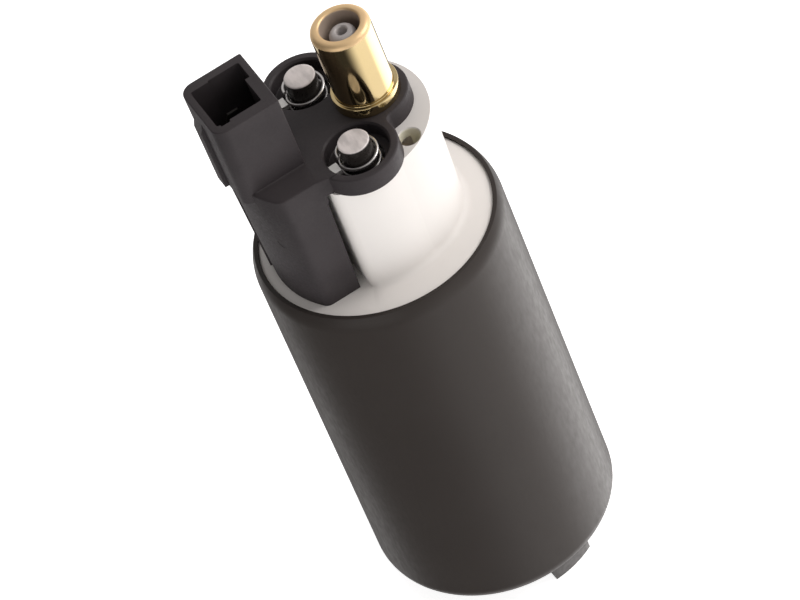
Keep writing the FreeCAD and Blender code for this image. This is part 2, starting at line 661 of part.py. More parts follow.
def armature_shaft():
    """Ground shaft with eased ends and one flat where the impeller sits."""
    low = f"({BUTTON_TOP} + case_fit)"
    ease = "(shaft_flat/2)"
    corners = [
        ("0", low),
        (f"{SHAFT_RADIUS} - {ease}", low),
        (SHAFT_RADIUS, f"{low} + {ease}"),
        (SHAFT_RADIUS, f"{SHAFT_TOP} - {ease}"),
        (f"{SHAFT_RADIUS} - {ease}", SHAFT_TOP),
        ("0", SHAFT_TOP),
    ]
    rod = turned("shaft_rod", corners)
    flat = block("shaft_flat_cut", (f"({SHAFT_RADIUS} - shaft_flat)", "shaft_diameter"),
                 ("(-shaft_diameter)", "shaft_diameter"), (COVER_TOP, ROOF))
    return less("armature_shaft", rod, [flat])


def shaft_spacer():
    """Sleeve between the lower bush and the armature core."""
    inner = f"({SHAFT_RADIUS} + press_gap)"
    return tube("shaft_spacer", f"{inner} + spacer_wall", inner,
                f"{CHAMBER_TOP} + slide_gap", CORE_FOOT)


def slot_centre(turn):
    """Where a slot of the armature core lies."""
    return direction("slot_circle/2", turn)


def armature_core():
    """Stack of slotted laminations, drawn as one solid."""

    def plan(sketch):
        disc(sketch, CORE_RADIUS)
        disc(sketch, f"{SHAFT_RADIUS} + press_gap")

    def hole(sketch):
        disc(sketch, "slot_diameter/2", "slot_circle/2")

    def mouth(sketch):
        near, far, half = "slot_circle/2", f"{CORE_RADIUS} + slot_mouth", "slot_mouth/2"
        outline(sketch, [(near, f"-{half}"), (far, f"-{half}"), (far, half), (near, half)])

    height = f"({CORE_TOP} - {CORE_FOOT})"
    body = padded("armature_core", CORE_FOOT, plan, height)
    for draw in (hole, mouth):
        repeated(body, pocketed(body, CORE_TOP, draw, height), "slot_count")
    return body


def armature_winding():
    """Wire bundles in the slots, joined by the end turns below and above the core."""
    inner = "(commutator_hub/2 + slide_gap*5)"
    outer = "(slot_circle/2 + slot_diameter/2)"
    low, high = f"({CORE_FOOT} - winding_gap)", f"({CORE_TOP} + winding_gap)"

    def end_turns(name, face, sign):
        far = f"({face} {sign} winding_end)"
        shoulder = f"({face} {sign} winding_end/3)"
        corners = [
            (inner, face),
            (outer, face),
            (outer, shoulder),
            (f"{outer} - winding_end/2", far),
            (f"{inner} + winding_end/4", far),
            (inner, shoulder),
        ]
        return turned(name, corners)

    count = int(value("slot_count"))
    rods = [
        cylinder(f"winding_rod_{i}", "slot_diameter/2 - winding_gap", low, high,
                 *slot_centre(f"{i}*360/slot_count"))
        for i in range(count)
    ]
    ends = [end_turns("winding_lower", low, "-"), end_turns("winding_upper", high, "+")]
    return joined("armature_winding", ends + rods)


def commutator():
    """Face commutator: a disc slit into segments, on a hub that stands on the core."""
    bore = f"({SHAFT_RADIUS} + press_gap)"
    corners = [
        (bore, CORE_TOP),
        ("commutator_hub/2", CORE_TOP),
        ("commutator_hub/2", COMMUTATOR_FOOT),
        ("commutator_diameter/2", COMMUTATOR_FOOT),
        ("commutator_diameter/2", COMMUTATOR_TOP),
        (bore, COMMUTATOR_TOP),
    ]

    def slit(sketch):
        near, far, half = "commutator_hub/2 - 1", "commutator_diameter/2 + 1", "commutator_slit/2"
        outline(sketch, [(near, f"-{half}"), (far, f"-{half}"), (far, half), (near, half)])

    body = turned("commutator", corners)
    repeated(body, pocketed(body, COMMUTATOR_TOP, slit, "commutator_slit_depth"), "slot_count")
    return body


# Motor's fixed pieces

def lower_bush():
    """Bush pressed into the pump chamber's hub."""
    return tube("lower_bush", BUSH_RADIUS, BUSH_BORE,
                f"{CHAMBER_TOP} - lower_bush_height", CHAMBER_TOP)


def upper_bush():
    """Bush pressed into the end cap's hub."""
    return tube("upper_bush", BUSH_RADIUS, BUSH_BORE,
                UPPER_BUSH_FOOT, f"{UPPER_BUSH_FOOT} + upper_bush_height")


def thrust_button():
    """Hard disc that carries the shaft's lower end."""
    return cylinder("thrust_button", "button_diameter/2", BUTTON_FOOT, BUTTON_TOP)


def flux_ring():
    """Steel sleeve that closes the magnets' field."""
    return tube("flux_ring", PRESSED, FLUX_BORE, CHAMBER_TOP, FLUX_TOP)


MAGNET_FOOT = f"({CHAMBER_TOP} + magnet_lift)"
MAGNET_TOP = f"({FLUX_TOP} - magnet_drop)"


def magnet(name, turn):
    """One arc magnet against the flux ring."""
    return sector(name, f"({FLUX_BORE} - case_fit)", MAGNET_BORE, MAGNET_FOOT, MAGNET_TOP,
                  "magnet_arc", turn)


def magnet_clip(name, turn):
    """Sheet clip between the magnets' edges: a back and two turned tabs."""
    outer = f"({FLUX_BORE} - case_fit)"
    gap = "(180 - magnet_arc)"
    tab = f"({gap}/20)"
    back = sector(name + "_back", outer, f"({outer} - clip_sheet)", MAGNET_FOOT, MAGNET_TOP,
                  f"({gap} - {tab})", turn)
    tabs = [
        sector(f"{name}_tab_{i}", outer, f"({MAGNET_BORE} + clip_sheet)", MAGNET_FOOT, MAGNET_TOP,
               tab, f"{turn} + {sign}*({gap}/2 - {tab})")
        for i, sign in enumerate((-1, 1))
    ]
    return joined(name, [back] + tabs)


def magnet_clips():
    """The two clips that press the magnets apart."""
    return group("magnet_clips", [magnet_clip("clip_left", "90"), magnet_clip("clip_right", "270")])


# Wound wire

def helix(mean, pitch, turns, start, step):
    """Points of a helix about the vertical and its headings there, a fraction of a turn apart."""
    points, headings = [], []
    for i in range(round(turns / step) + 1):
        angle = 2 * math.pi * i * step + math.radians(start)
        points.append(FreeCAD.Vector(mean * math.cos(angle), mean * math.sin(angle),
                                     pitch * i * step))
        heading = FreeCAD.Vector(-2 * math.pi * mean * math.sin(angle),
                                 2 * math.pi * mean * math.cos(angle), pitch)
        headings.append(heading.normalize())
    return points, headings


def arc_from(start, heading, end):
    """The arc that leaves a point along a heading and reaches another point."""
    chord = end - start
    normal = heading.cross(chord).normalize()
    inward = normal.cross(heading)
    centre = start + inward * (chord.dot(chord) / (2 * chord.dot(inward)))
    half = FreeCAD.Rotation(normal, math.degrees(heading.getAngle(chord)))
    return Part.Arc(start, centre + half.multVec(start - centre), end).toShape()


def joint_of(first, first_heading, last, last_heading):
    """Where the two arcs meet that join two points with their headings."""
    across = last - first
    both = first_heading + last_heading
    spread = 2 * (1 - first_heading.dot(last_heading))
    along = across.dot(both)
    reach = (math.sqrt(along ** 2 + spread * across.dot(across)) - along) / spread
    return (first + first_heading * reach + last - last_heading * reach) * 0.5


def least_gap(path, wire):
    """The least gap between two passes of a wire along a path, measured on points."""
    points = path.discretize(Number=round(path.Length / wire) * 4)
    apart = math.ceil(len(points) * math.pi * wire / path.Length) + 1
    return min(p.distanceToPoint(q) for i, p in enumerate(points) for q in points[i + apart:]) - wire


def wound(name, mean, wire, pitch, turns, place_at, start=0.0):
    """A coil or spring: one unbroken round wire with a straight end at each side."""
    points, headings = helix(mean / 2, pitch, turns, start, 0.25)
    lead_in = points[0] - headings[0] * wire
    edges = [Part.LineSegment(lead_in, points[0]).toShape()]
    for i in range(len(points) - 1):
        middle = joint_of(points[i], headings[i], points[i + 1], headings[i + 1])
        edges.append(arc_from(points[i], headings[i], middle))
        edges.append(arc_from(middle, edges[-1].tangentAt(edges[-1].LastParameter), points[i + 1]))
    edges.append(Part.LineSegment(points[-1], points[-1] + headings[-1] * wire).toShape())
    path = Part.Wire(edges)
    section = Part.Wire([Part.makeCircle(wire / 2, lead_in, headings[0])])
    print(f"{name}: least gap between turns {least_gap(path, wire):.2f} mm")
    made = doc.addObject("Part::Feature", name)
    made.Shape = path.makePipeShell([section], True, False)
    made.Placement = FreeCAD.Placement(FreeCAD.Vector(*place_at), FreeCAD.Rotation())
    return made


def spring(name, mean, wire, low, high, x="0", y="0"):
    """A hidden compression spring between two faces, drawn as the sleeve that its turns fill."""
    foot, head = f"({low} + 2*case_fit)", f"({high} - 2*case_fit)"
    outer = cylinder(name + "_outside", f"({mean} + {wire})/2", foot, head, x, y)
    inner = cylinder(name + "_inside", f"({mean} - {wire})/2", f"({foot} - {wire})",
                     f"({head} + {wire})", x, y)
    return less(name, outer, [inner])


# Brushes

def brush(name, side):
    """Carbon brush with a pocket for its lead."""
    middle = f"({side}*brush_offset)"
    bar = block(name + "_bar", ("(-brush_width/2)", "(brush_width/2)"),
                (f"({middle} - brush_depth/2)", f"({middle} + brush_depth/2)"),
                (BRUSH_FOOT, BRUSH_TOP))
    pocket = cylinder(name + "_pocket", "lead_diameter/2 + press_gap", f"({BRUSH_TOP} - lead_root)",
                      f"({BRUSH_TOP} + lead_root)", "0", f"({side}*lead_offset)")
    return less(name, bar, [pocket])


def brush_spring(name, side):
    """Spring in the tunnel behind a brush, shifted away from the lead."""
    return spring(name, "brush_coil", "brush_wire", BRUSH_TOP, TUNNEL_ROOF,
                  "0", f"({side}*(brush_offset + brush_coil_shift))")


def brush_lead(name, side):
    """Lead from the brush up to the foot of the choke's coil."""
    return cylinder(name, "lead_diameter/2", f"({BRUSH_TOP} - lead_root + press_gap)",
                    f"({COIL_FOOT} - choke_well_gap)", "0", f"({side}*lead_offset)")


# Outlet end cap

RELIEF_X, RELIEF_Y = direction("relief_offset", "relief_turn")
BOSS_RADIUS = "(dome_foot_radius - dome_boss_inset)"
SEAL_HEIGHT = f"({FLANGE_TOP} - seal_depth)"
SEAL_RADIUS = f"({PRESSED} - seal_section/2)"


def case_seal():
    """Round rubber ring in the end cap's groove."""
    ring = doc.addObject("Part::Torus", "case_seal")
    bind(ring, Radius1=SEAL_RADIUS, Radius2="seal_section/2")
    return place(ring, z=SEAL_HEIGHT)


def dome():
    """The dome above the flange: two round sides and a flat one, wider at its top."""
    foot = f"({FLANGE_TOP} - flange_edge)"

    def round_side(sketch):
        disc(sketch, "dome_foot_radius")

    def boss_side(sketch):
        disc(sketch, BOSS_RADIUS, "dome_boss_shift")

    sides = [padded("dome_round", foot, round_side, f"{DOME_TOP} - {foot}"),
             padded("dome_boss", foot, boss_side, f"{DOME_TOP} - {foot}")]
    for side in sides:
        bind(side.Tip, TaperAngle=f"atan(dome_draft/({DOME_TOP} - {foot}))")
    flat = block("dome_flat_cut", ("(-dome_foot_radius*2)", "(-dome_flat)"),
                 ("(-dome_foot_radius*2)", "dome_foot_radius*2"),
                 (f"({FLANGE_TOP} - dome_height)", f"({DOME_TOP} + dome_height)"))
    blank = less("dome_blank", joined("dome_sides", sides), [flat])
    at_flat = value("dome_flat") - 0.01
    corners = rounded("dome_corners", blank, "dome_corner",
                      lambda e: upright(e) and e.CenterOfMass.x < -at_flat)
    return rounded("dome", corners, "dome_hollow",
                   lambda e: upright(e) and e.CenterOfMass.x > at_flat / 2)


def end_cap_ring():
    """Everything of the end cap that is turned: flange, seal groove, skirt and hub."""
    hub = f"({BUSH_RADIUS} + press_gap + hub_wall)"
    skirt = f"({PRESSED} - skirt_wall)"
    floor = f"({SEAL_RADIUS} - seal_section/2 - press_gap)"
    groove = "(seal_section/2 + case_fit)"
    corners = [
        ("0", UPPER_BUSH_FOOT),
        (hub, UPPER_BUSH_FOOT),
        (hub, CAP_UNDERSIDE),
        (skirt, CAP_UNDERSIDE),
        (skirt, FLUX_TOP),
        (PRESSED, FLUX_TOP),
        (PRESSED, f"{SEAL_HEIGHT} - {groove}"),
        (floor, f"{SEAL_HEIGHT} - {groove}"),
        (floor, f"{SEAL_HEIGHT} + {groove}"),
        (PRESSED, f"{SEAL_HEIGHT} + {groove}"),
        (PRESSED, f"{FLANGE_TOP} - flange_edge"),
        (f"{PRESSED} - flange_edge", FLANGE_TOP),
        ("0", FLANGE_TOP),
    ]
    return turned("cap_ring", corners, {10: ("flange_edge", 1)})


def brush_tunnels(wall, low, high, part):
    """Two boxes round the brushes, wider than them by the slide gap and a wall."""
    boxes = []
    for side in (-1, 1):
        across = f"(brush_width/2 + slide_gap + {wall})"
        along = f"(brush_depth/2 + slide_gap + {wall})"
        middle = f"({side}*brush_offset)"
        boxes.append(block(f"{part}_{len(boxes)}", (f"(-{across})", across),
                           (f"({middle} - {along})", f"({middle} + {along})"), (low, high)))
    return boxes


def outlet_end_cap():
    """End cap with the brush tunnels, the outlet passage, the relief bore and the choke wells."""
    walls = brush_tunnels("tunnel_wall", TUNNEL_FOOT, f"({CAP_UNDERSIDE} + slide_gap)", "tunnel_box")
    blank = joined("cap_blank", [end_cap_ring(), dome()] + walls)
    height = value(FLANGE_TOP)
    reach = value(f"dome_boss_shift + {BOSS_RADIUS} + dome_fillet")
    footed = rounded("cap_footed", blank, "dome_fillet",
                     lambda e: level(e, height)
                     and max(math.hypot(v.X, v.Y) for v in e.Vertexes) < reach)
    over = f"({DOME_TOP} + dome_fillet)"
    cuts = [
        cylinder("cap_bush_bore", f"{BUSH_RADIUS} + press_gap", f"({UPPER_BUSH_FOOT} - dome_fillet)",
                 f"({UPPER_BUSH_FOOT} + upper_bush_height)"),
        cylinder("cap_shaft_pocket", f"{SHAFT_RADIUS} + bush_wall/2", UPPER_BUSH_FOOT,
                 f"({SHAFT_TOP} + upper_bush_lift)"),
        cylinder("cap_passage", "passage_bore/2", f"({CAP_UNDERSIDE} - skirt_wall)",
                 OUTLET_FOOT, "outlet_offset"),
        cylinder("cap_tube_seat", "outlet_diameter/2 + press_gap", f"({OUTLET_FOOT} - press_gap)",
                 over, "outlet_offset"),
        cylinder("cap_relief_bore", "relief_bore/2", f"({CAP_UNDERSIDE} - skirt_wall)",
                 over, RELIEF_X, RELIEF_Y),
        cylinder("cap_vent", "vent_diameter/2", f"({DOME_TOP} - vent_depth)", over,
                 *direction("vent_offset", "relief_turn")),
    ]
    cuts += brush_tunnels("0", f"({UPPER_BUSH_FOOT} - slide_gap)", TUNNEL_ROOF, "tunnel_bore")
    for side in (-1, 1):
        cuts.append(cylinder(f"cap_choke_well_{len(cuts)}", CHOKE_WELL,
                             f"({CHOKE_FOOT} - case_fit)", over, "0", f"({side}*choke_offset)"))
        cuts.append(cylinder(f"cap_lead_hole_{len(cuts)}", "lead_diameter/2 + slide_gap",
                             TUNNEL_ROOF, COIL_FOOT, "0", f"({side}*lead_offset)"))
    return less("outlet_end_cap", footed, cuts)


# Outlet tube and check valve

def outlet_tube():
    """Turned hose nipple with a collar; its lower end holds the valve seat."""
    radius = "(outlet_diameter/2)"
    collar_foot = f"({PLATE_TOP} + press_gap)"
    collar_top = f"({PLATE_TOP} + collar_height)"
    corners = [
        ("seat_bore/2", OUTLET_FOOT),
        (radius, OUTLET_FOOT),
        (radius, collar_foot),
        ("collar_diameter/2", collar_foot),
        ("collar_diameter/2", collar_top),
        (radius, collar_top),
        (radius, f"{OUTLET_TOP} - outlet_rim"),
        (f"{radius} - outlet_rim", OUTLET_TOP),
        ("outlet_bore/2", OUTLET_TOP),
        ("outlet_bore/2", SEAT_TOP),
        ("seat_bore/2", SEAT_TOP),
    ]
    return place(turned("outlet_tube", corners, {6: ("outlet_rim", 1)}), x="outlet_offset")


def check_valve_cage():
    """Cage pressed into the tube: a nose, a hub that guides the stem, and three ribs."""
    guide = "(stem_diameter/2 + slide_gap)"
    neck = f"({CAGE_TOP} - cage_nose_height)"
    corners = [
        (guide, CAGE_FOOT),
        ("cage_hub/2", CAGE_FOOT),
        ("cage_hub/2", neck),
        ("nose_diameter/2", f"{neck} + cage_edge/2"),
        ("nose_diameter/2", f"{CAGE_TOP} - cage_edge"),
        ("nose_diameter/2 - cage_edge", CAGE_TOP),
        (guide, CAGE_TOP),
    ]
    hub = turned("cage_hub_turned", corners, {4: ("cage_edge", 1)})
    wall = "(outlet_bore/2 - press_gap)"
    ribs = [
        sector(f"cage_rib_{i}", wall, f"({guide} + slide_gap)", CAGE_FOOT, neck,
               "cage_rib*360/(pi*outlet_bore)", f"{i}*120")
        for i in range(3)
    ]
    return place(joined("check_valve_cage", [hub] + ribs), x="outlet_offset")


def check_valve_poppet():
    """Poppet with a cone that closes the seat and a stem that slides in the cage."""
    cone_height = "(poppet_diameter/4)"
    tip = f"({SEAT_TOP} - seat_bore/2 + running_gap + {cone_height})"
    corners = [
        ("0", tip),
        ("poppet_diameter/4", tip),
        ("poppet_diameter/2", f"{tip} + {cone_height}"),
        ("poppet_diameter/2", POPPET_TOP),
        ("stem_diameter/2", POPPET_TOP),
        ("stem_diameter/2", f"{CAGE_TOP} - poppet_lift"),
        ("0", f"{CAGE_TOP} - poppet_lift"),
    ]
    return place(turned("check_valve_poppet", corners), x="outlet_offset")


def check_valve_spring():
    """Spring between the poppet's head and the cage."""
    return spring("check_valve_spring", "valve_coil", "valve_wire",
                  POPPET_TOP, CAGE_FOOT, "outlet_offset")


# Relief valve

BALL_HEIGHT = f"({RELIEF_SEAT} + sqrt(relief_ball^2 - relief_seat_bore^2)/2 + press_gap)"
RELIEF_SPRING_FOOT = f"({BALL_HEIGHT} + sqrt(relief_ball^2 - (relief_coil - relief_wire)^2)/2)"
RELIEF_PLUG_FOOT = f"({RELIEF_SPRING_FOOT} + relief_lift + relief_spring_room)"


def relief_valve_seat():
    """Ring pressed into the relief bore."""
    return place(tube("relief_valve_seat", "relief_bore/2 - press_gap", "relief_seat_bore/2",
                      RELIEF_FOOT, RELIEF_SEAT), RELIEF_X, RELIEF_Y)


def relief_valve_ball():
    """Ball held on its seat by the spring."""
    ball = doc.addObject("Part::Sphere", "relief_valve_ball")
    bind(ball, Radius="relief_ball/2")
    return place(ball, RELIEF_X, RELIEF_Y, BALL_HEIGHT)


def relief_valve_spring():
    """Spring between the ball's shoulder and the plug."""
    return spring("relief_valve_spring", "relief_coil", "relief_wire",
                  RELIEF_SPRING_FOOT, RELIEF_PLUG_FOOT, RELIEF_X, RELIEF_Y)


def relief_valve_plug():
    """Ring that closes the relief bore's upper end and leaves a way out."""
    return place(tube("relief_valve_plug", "relief_bore/2 - press_gap", "relief_plug_bore/2",
                      RELIEF_PLUG_FOOT, f"{RELIEF_PLUG_FOOT} + relief_plug_height"),
                 RELIEF_X, RELIEF_Y)


# Connector housing

HOUSING_FOOT = f"({DOME_TOP} + press_gap)"
SOCKET_FLOOR = f"({TOWER_TOP} - socket_depth)"
COLUMN_RADIUS = f"({CASE_RADIUS} - column_inset)"
TOWER_OUTSIDE = f"({COLUMN_RADIUS} + tower_proud)"
SOCKET_OUTSIDE = f"({TOWER_OUTSIDE} - socket_wall)"
WELL_FLOOR = f"({PLATE_TOP} - well_depth)"


def three_lobes():
    """Plate over the dome: a lobe round each choke, one round the outlet and a web."""
    lobes = [
        cylinder(f"lobe_{i}", "lobe_radius", HOUSING_FOOT, PLATE_TOP, "0", f"({side}*choke_offset)")
        for i, side in enumerate((-1, 1))
    ]
    lobes.append(cylinder("lobe_outlet", "outlet_lobe_radius", HOUSING_FOOT, PLATE_TOP,
                          "outlet_offset"))
    root, shoulder = "(-column_inside - column_draft)", "(-lobe_radius + column_draft)"
    end = "(outlet_offset/2)"

    def web(sketch):
        outline(sketch, [(root, "-column_half_width"), (shoulder, "-web_half_width"),
                         (end, "-web_half_width"), (end, "web_half_width"),
                         (shoulder, "web_half_width"), (root, "column_half_width")])

    lobes.append(padded("lobe_web", HOUSING_FOOT, web, f"{PLATE_TOP} - {HOUSING_FOOT}"))
    blank = joined("lobes_joined", lobes)
    half = value("outlet_offset") / 2
    return rounded("lobes", blank, "lobe_fillet",
                   lambda e: upright(e) and half < e.CenterOfMass.x < 2 * half)


def column():
    """Arc-shaped column from the flange to the plate's top, narrower at its foot."""
    foot = f"({FLANGE_TOP} + press_gap)"
    half = "(column_half_width - column_draft)"
    radius = f"({COLUMN_RADIUS} - column_draft)"
    inside = "(column_inside + column_draft)"
    edge = f"sqrt({radius}^2 - {half}^2)"

    def plan(sketch):
        outline(sketch, [(f"-{inside}", f"-{half}"), (f"-{inside}", half),
                         (f"-{edge}", half), (f"-{edge}", f"-{half}")], {2: (radius, 1)})

    body = padded("column", foot, plan, f"{PLATE_TOP} - {foot}")
    bind(body.Tip, TaperAngle=f"atan(column_draft/({PLATE_TOP} - {foot}))")
    return body


def tower():
    """Tower round the socket with its latch rib."""
    shell = block("tower_block", (f"(-{TOWER_OUTSIDE})", "(-column_inside)"),
                  ("(-tower_half_width)", "tower_half_width"),
                  (f"({PLATE_TOP} - tower_root)", TOWER_TOP))
    outer = value(TOWER_OUTSIDE) - 0.01
    eased = rounded("tower", shell, "tower_corner",
                    lambda e: upright(e) and e.CenterOfMass.x < -outer)
    root, face = f"(-{TOWER_OUTSIDE} + latch_proud)", f"(-{TOWER_OUTSIDE} - latch_proud)"
    top, foot = f"({TOWER_TOP} - latch_drop)", f"({TOWER_TOP} - latch_drop - latch_length)"
    rib = profiled("latch_rib", [(root, foot), (root, top), (f"(-{TOWER_OUTSIDE})", top),
                                 (face, f"{top} - 3*latch_proud"), (face, foot)],
                   "(latch_shift + latch_width/2)", "latch_width")
    return joined("tower_and_rib", [eased, rib])


def socket_cuts():
    """The socket's cavity, its key groove, its step and its notch."""
    over = f"({TOWER_TOP} + latch_drop)"
    cavity = block("socket_cavity", (f"(-{SOCKET_OUTSIDE})", "(-socket_inside)"),
                   ("(-socket_half_width)", "socket_half_width"), (SOCKET_FLOOR, over))
    groove = block("socket_groove", ("(-socket_inside - socket_key)", "(-socket_inside + socket_key)"),
                   ("socket_key_start", "socket_half_width"), (SOCKET_FLOOR, over))
    step = block("socket_side_step", (f"(-{SOCKET_OUTSIDE} + socket_step_inset)", "(-socket_inside)"),
                 ("(socket_half_width - socket_step)", "(socket_half_width + socket_step)"),
                 (SOCKET_FLOOR, over))
    notch = block("socket_side_notch",
                  (f"(-{SOCKET_OUTSIDE} + socket_notch_inset)",
                   f"(-{SOCKET_OUTSIDE} + socket_notch_inset + socket_notch_width)"),
                  ("(-socket_half_width - socket_notch)", "(-socket_half_width + socket_notch)"),
                  (SOCKET_FLOOR, over))
    return [cavity, groove, step, notch]


def terminal_blank(name, side, gap):
    """A terminal's blade, bar and tab as one solid, grown by a gap on every side."""
    low = f"({PLATE_TOP} - bar_depth - blade_thickness - {gap})"
    high = f"({PLATE_TOP} - bar_depth + {gap})"

    def across(near, far):
        ends = (f"({side}*({near}))", f"({side}*({far}))")
        return ends if side > 0 else ends[::-1]

    middle = "blade_pitch/2"
    outer = f"(-blade_offset - blade_width/2 - {gap})"
    sheet_half = f"(blade_thickness/2 + {gap})"
    blade = block(name + "_blade",
                  (outer, f"(-blade_offset + blade_width/2 + {gap})"),
                  across(f"{middle} - {sheet_half}", f"{middle} + {sheet_half}"),
                  (low, f"({SOCKET_FLOOR} + blade_reach)"))
    bar = block(name + "_bar",
                (outer, f"(-bar_elbow + bar_width/2 + {gap})"),
                across(f"{middle} - bar_width/2 - {gap}", f"{middle} + bar_width/2 + {gap}"),
                (low, high))
    elbow = block(name + "_elbow",
                  (f"(-bar_elbow - bar_width/2 - {gap})", f"(-bar_elbow + bar_width/2 + {gap})"),
                  across(middle, f"choke_offset + bar_tab_width/2 + {gap}"), (low, high))
    tab = block(name + "_tab",
                ("(-bar_elbow)", f"(-well_diameter/2 + bar_tab + {gap})"),
                across(f"choke_offset - bar_tab_width/2 - {gap}",
                       f"choke_offset + bar_tab_width/2 + {gap}"), (low, high))
    return joined(name, [blade, bar, elbow, tab])


def connector_housing():
    """Moulded housing: plate, column and tower, with its wells, socket and terminal slots."""
    blank = joined("housing_blank", [three_lobes(), column(), tower()])
    over = f"({PLATE_TOP} + plate_thickness)"
    cuts = socket_cuts()
    cuts.append(cylinder("housing_tube_hole", "outlet_diameter/2 + press_gap",
                         f"({HOUSING_FOOT} - plate_thickness)", over, "outlet_offset"))
    for side in (-1, 1):
        cuts.append(cylinder(f"housing_well_{len(cuts)}", "well_diameter/2", WELL_FLOOR, over,
                             "0", f"({side}*choke_offset)"))
        cuts.append(cylinder(f"housing_well_hole_{len(cuts)}", CHOKE_WELL,
                             f"({HOUSING_FOOT} - plate_thickness)", over,
                             "0", f"({side}*choke_offset)"))
        cuts.append(terminal_blank(f"terminal_slot_{len(cuts)}", side, "press_gap"))
    return less("connector_housing", blank, cuts)


def terminal(name, side):
    """Sheet terminal from the socket's floor to the choke's well."""
    return terminal_blank(name, side, "0")


# Suppression chokes

def choke_core(name, side):
    """Ferrite rod with eased ends."""
    radius, edge = "(choke_core_diameter/2)", "choke_core_edge"
    corners = [
        ("0", CHOKE_FOOT),
        (f"{radius} - {edge}", CHOKE_FOOT),
        (radius, f"{CHOKE_FOOT} + {edge}"),
        (radius, f"{CHOKE_TOP} - {edge}"),
        (f"{radius} - {edge}", CHOKE_TOP),
        ("0", CHOKE_TOP),
    ]
    rod = turned(name, corners, {1: (edge, 1), 3: (edge, 1)})
    return place(rod, y=f"({side}*choke_offset)")


def choke_coil(name, side):
    """Bare wire wound round the core, from the brush lead below to the terminal's tab above."""
    turns = value("choke_turns") - side * 0.25
    pitch = value(COIL_RISE) / turns
    at = (0.0, value(f"{side}*choke_offset"), value(f"{CHOKE_TOP} - choke_drop - {COIL_RISE}"))
    return wound(name, value("choke_coil"), value("choke_wire"), pitch, turns, at, -90.0 * side)


# All pieces, in the order of assembly

made = [
    pump_case(),
    inlet_cover(),
    thrust_button(),
    impeller(),
    pump_chamber(),
    lower_bush(),
    flux_ring(),
    magnet("magnet_a", "0"),
    magnet("magnet_b", "180"),
    magnet_clips(),
    armature_shaft(),
    shaft_spacer(),
    armature_core(),
    armature_winding(),
    commutator(),
    upper_bush(),
    case_seal(),
    outlet_end_cap(),
    outlet_tube(),
    check_valve_cage(),
    check_valve_poppet(),
    check_valve_spring(),
    relief_valve_seat(),
    relief_valve_ball(),
    relief_valve_spring(),
    relief_valve_plug(),
    connector_housing(),
]
for sign, pole in ((1, "positive"), (-1, "negative")):
    made += [
        brush(f"brush_{pole}", sign),
        brush_spring(f"brush_spring_{pole}", sign),
        brush_lead(f"brush_lead_{pole}", sign),
        terminal(f"terminal_{pole}", sign),
        choke_core(f"choke_core_{pole}", sign),
        choke_coil(f"choke_coil_{pole}", sign),
    ]

doc.recompute()
failed = [o.Name for o in doc.Objects if {"Invalid", "Error"} & set(o.State)]
failed += [o.Name for o in made if o.Shape.isNull() or not o.Shape.isValid()]
if failed:
    raise RuntimeError("these objects failed: " + ", ".join(failed))

os.makedirs("parts", exist_ok=True)
for piece in made:
    piece.Label = piece.Name
    piece.Shape.exportStep(os.path.join("parts", piece.Label + ".step"))
print(len(made), "pieces written")
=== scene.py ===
"""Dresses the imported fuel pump: its visible pieces are modelled again with eased edges, and every
piece gets its finish. Lengths are in metres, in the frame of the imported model."""
import json
import math

import bpy
from bpy.props import FloatProperty, FloatVectorProperty, IntProperty, PointerProperty
from mathutils import Matrix, Vector


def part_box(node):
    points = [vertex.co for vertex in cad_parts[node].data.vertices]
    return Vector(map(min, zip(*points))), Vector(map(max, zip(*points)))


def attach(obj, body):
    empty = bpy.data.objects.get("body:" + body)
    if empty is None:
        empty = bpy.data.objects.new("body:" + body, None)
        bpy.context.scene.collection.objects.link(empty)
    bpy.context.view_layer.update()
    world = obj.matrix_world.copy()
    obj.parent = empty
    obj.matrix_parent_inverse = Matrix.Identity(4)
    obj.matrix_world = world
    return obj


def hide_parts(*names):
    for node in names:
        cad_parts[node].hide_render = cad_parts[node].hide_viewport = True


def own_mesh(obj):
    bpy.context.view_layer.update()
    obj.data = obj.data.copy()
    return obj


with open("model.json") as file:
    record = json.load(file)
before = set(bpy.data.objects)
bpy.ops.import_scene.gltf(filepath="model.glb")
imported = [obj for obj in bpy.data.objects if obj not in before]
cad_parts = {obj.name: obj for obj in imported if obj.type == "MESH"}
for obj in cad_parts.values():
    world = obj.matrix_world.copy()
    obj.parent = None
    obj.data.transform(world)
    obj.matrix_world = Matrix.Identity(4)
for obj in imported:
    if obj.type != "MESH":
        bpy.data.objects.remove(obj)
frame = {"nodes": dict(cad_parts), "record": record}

bl_info = {
    "name": "Fuel Pump",
    "version": (1, 0, 0),
    "blender": (4, 5, 0),
    "location": "View3D > Sidebar > Fuel Pump",
    "description": "Builds the visible pieces of an in-tank fuel pump on its packed frame",
    "category": "Add Mesh",
}

MM = 0.001
GAP = 0.02 * MM  # between pieces that don't move apart
OVER = MM  # how far a cutter or a root runs past the face that it meets
BROKEN = 0.1 * MM  # a broken edge
FINE, COARSE = 3.0, 12.0  # degrees between the points of large and of small arcs
POLES = (("positive", 1), ("negative", -1))  # each pole, and the side of the y axis it is on
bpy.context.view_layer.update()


# Sizes and colours that a user would change

def size(name, description, millimetres):
    """A length property with its default in millimetres."""
    return FloatProperty(name=name, description=description, default=millimetres * MM,
                         min=0.0, unit="LENGTH", precision=5)


def direction(name, description, degrees):
    """A direction property with its default in degrees."""
    return FloatProperty(name=name, description=description, default=math.radians(degrees),
                         subtype="ANGLE", unit="ROTATION")


def colour(name, description, red, green, blue):
    """A colour property."""
    return FloatVectorProperty(name=name, description=description, subtype="COLOR", size=3,
                               min=0.0, max=1.0, default=(red, green, blue))


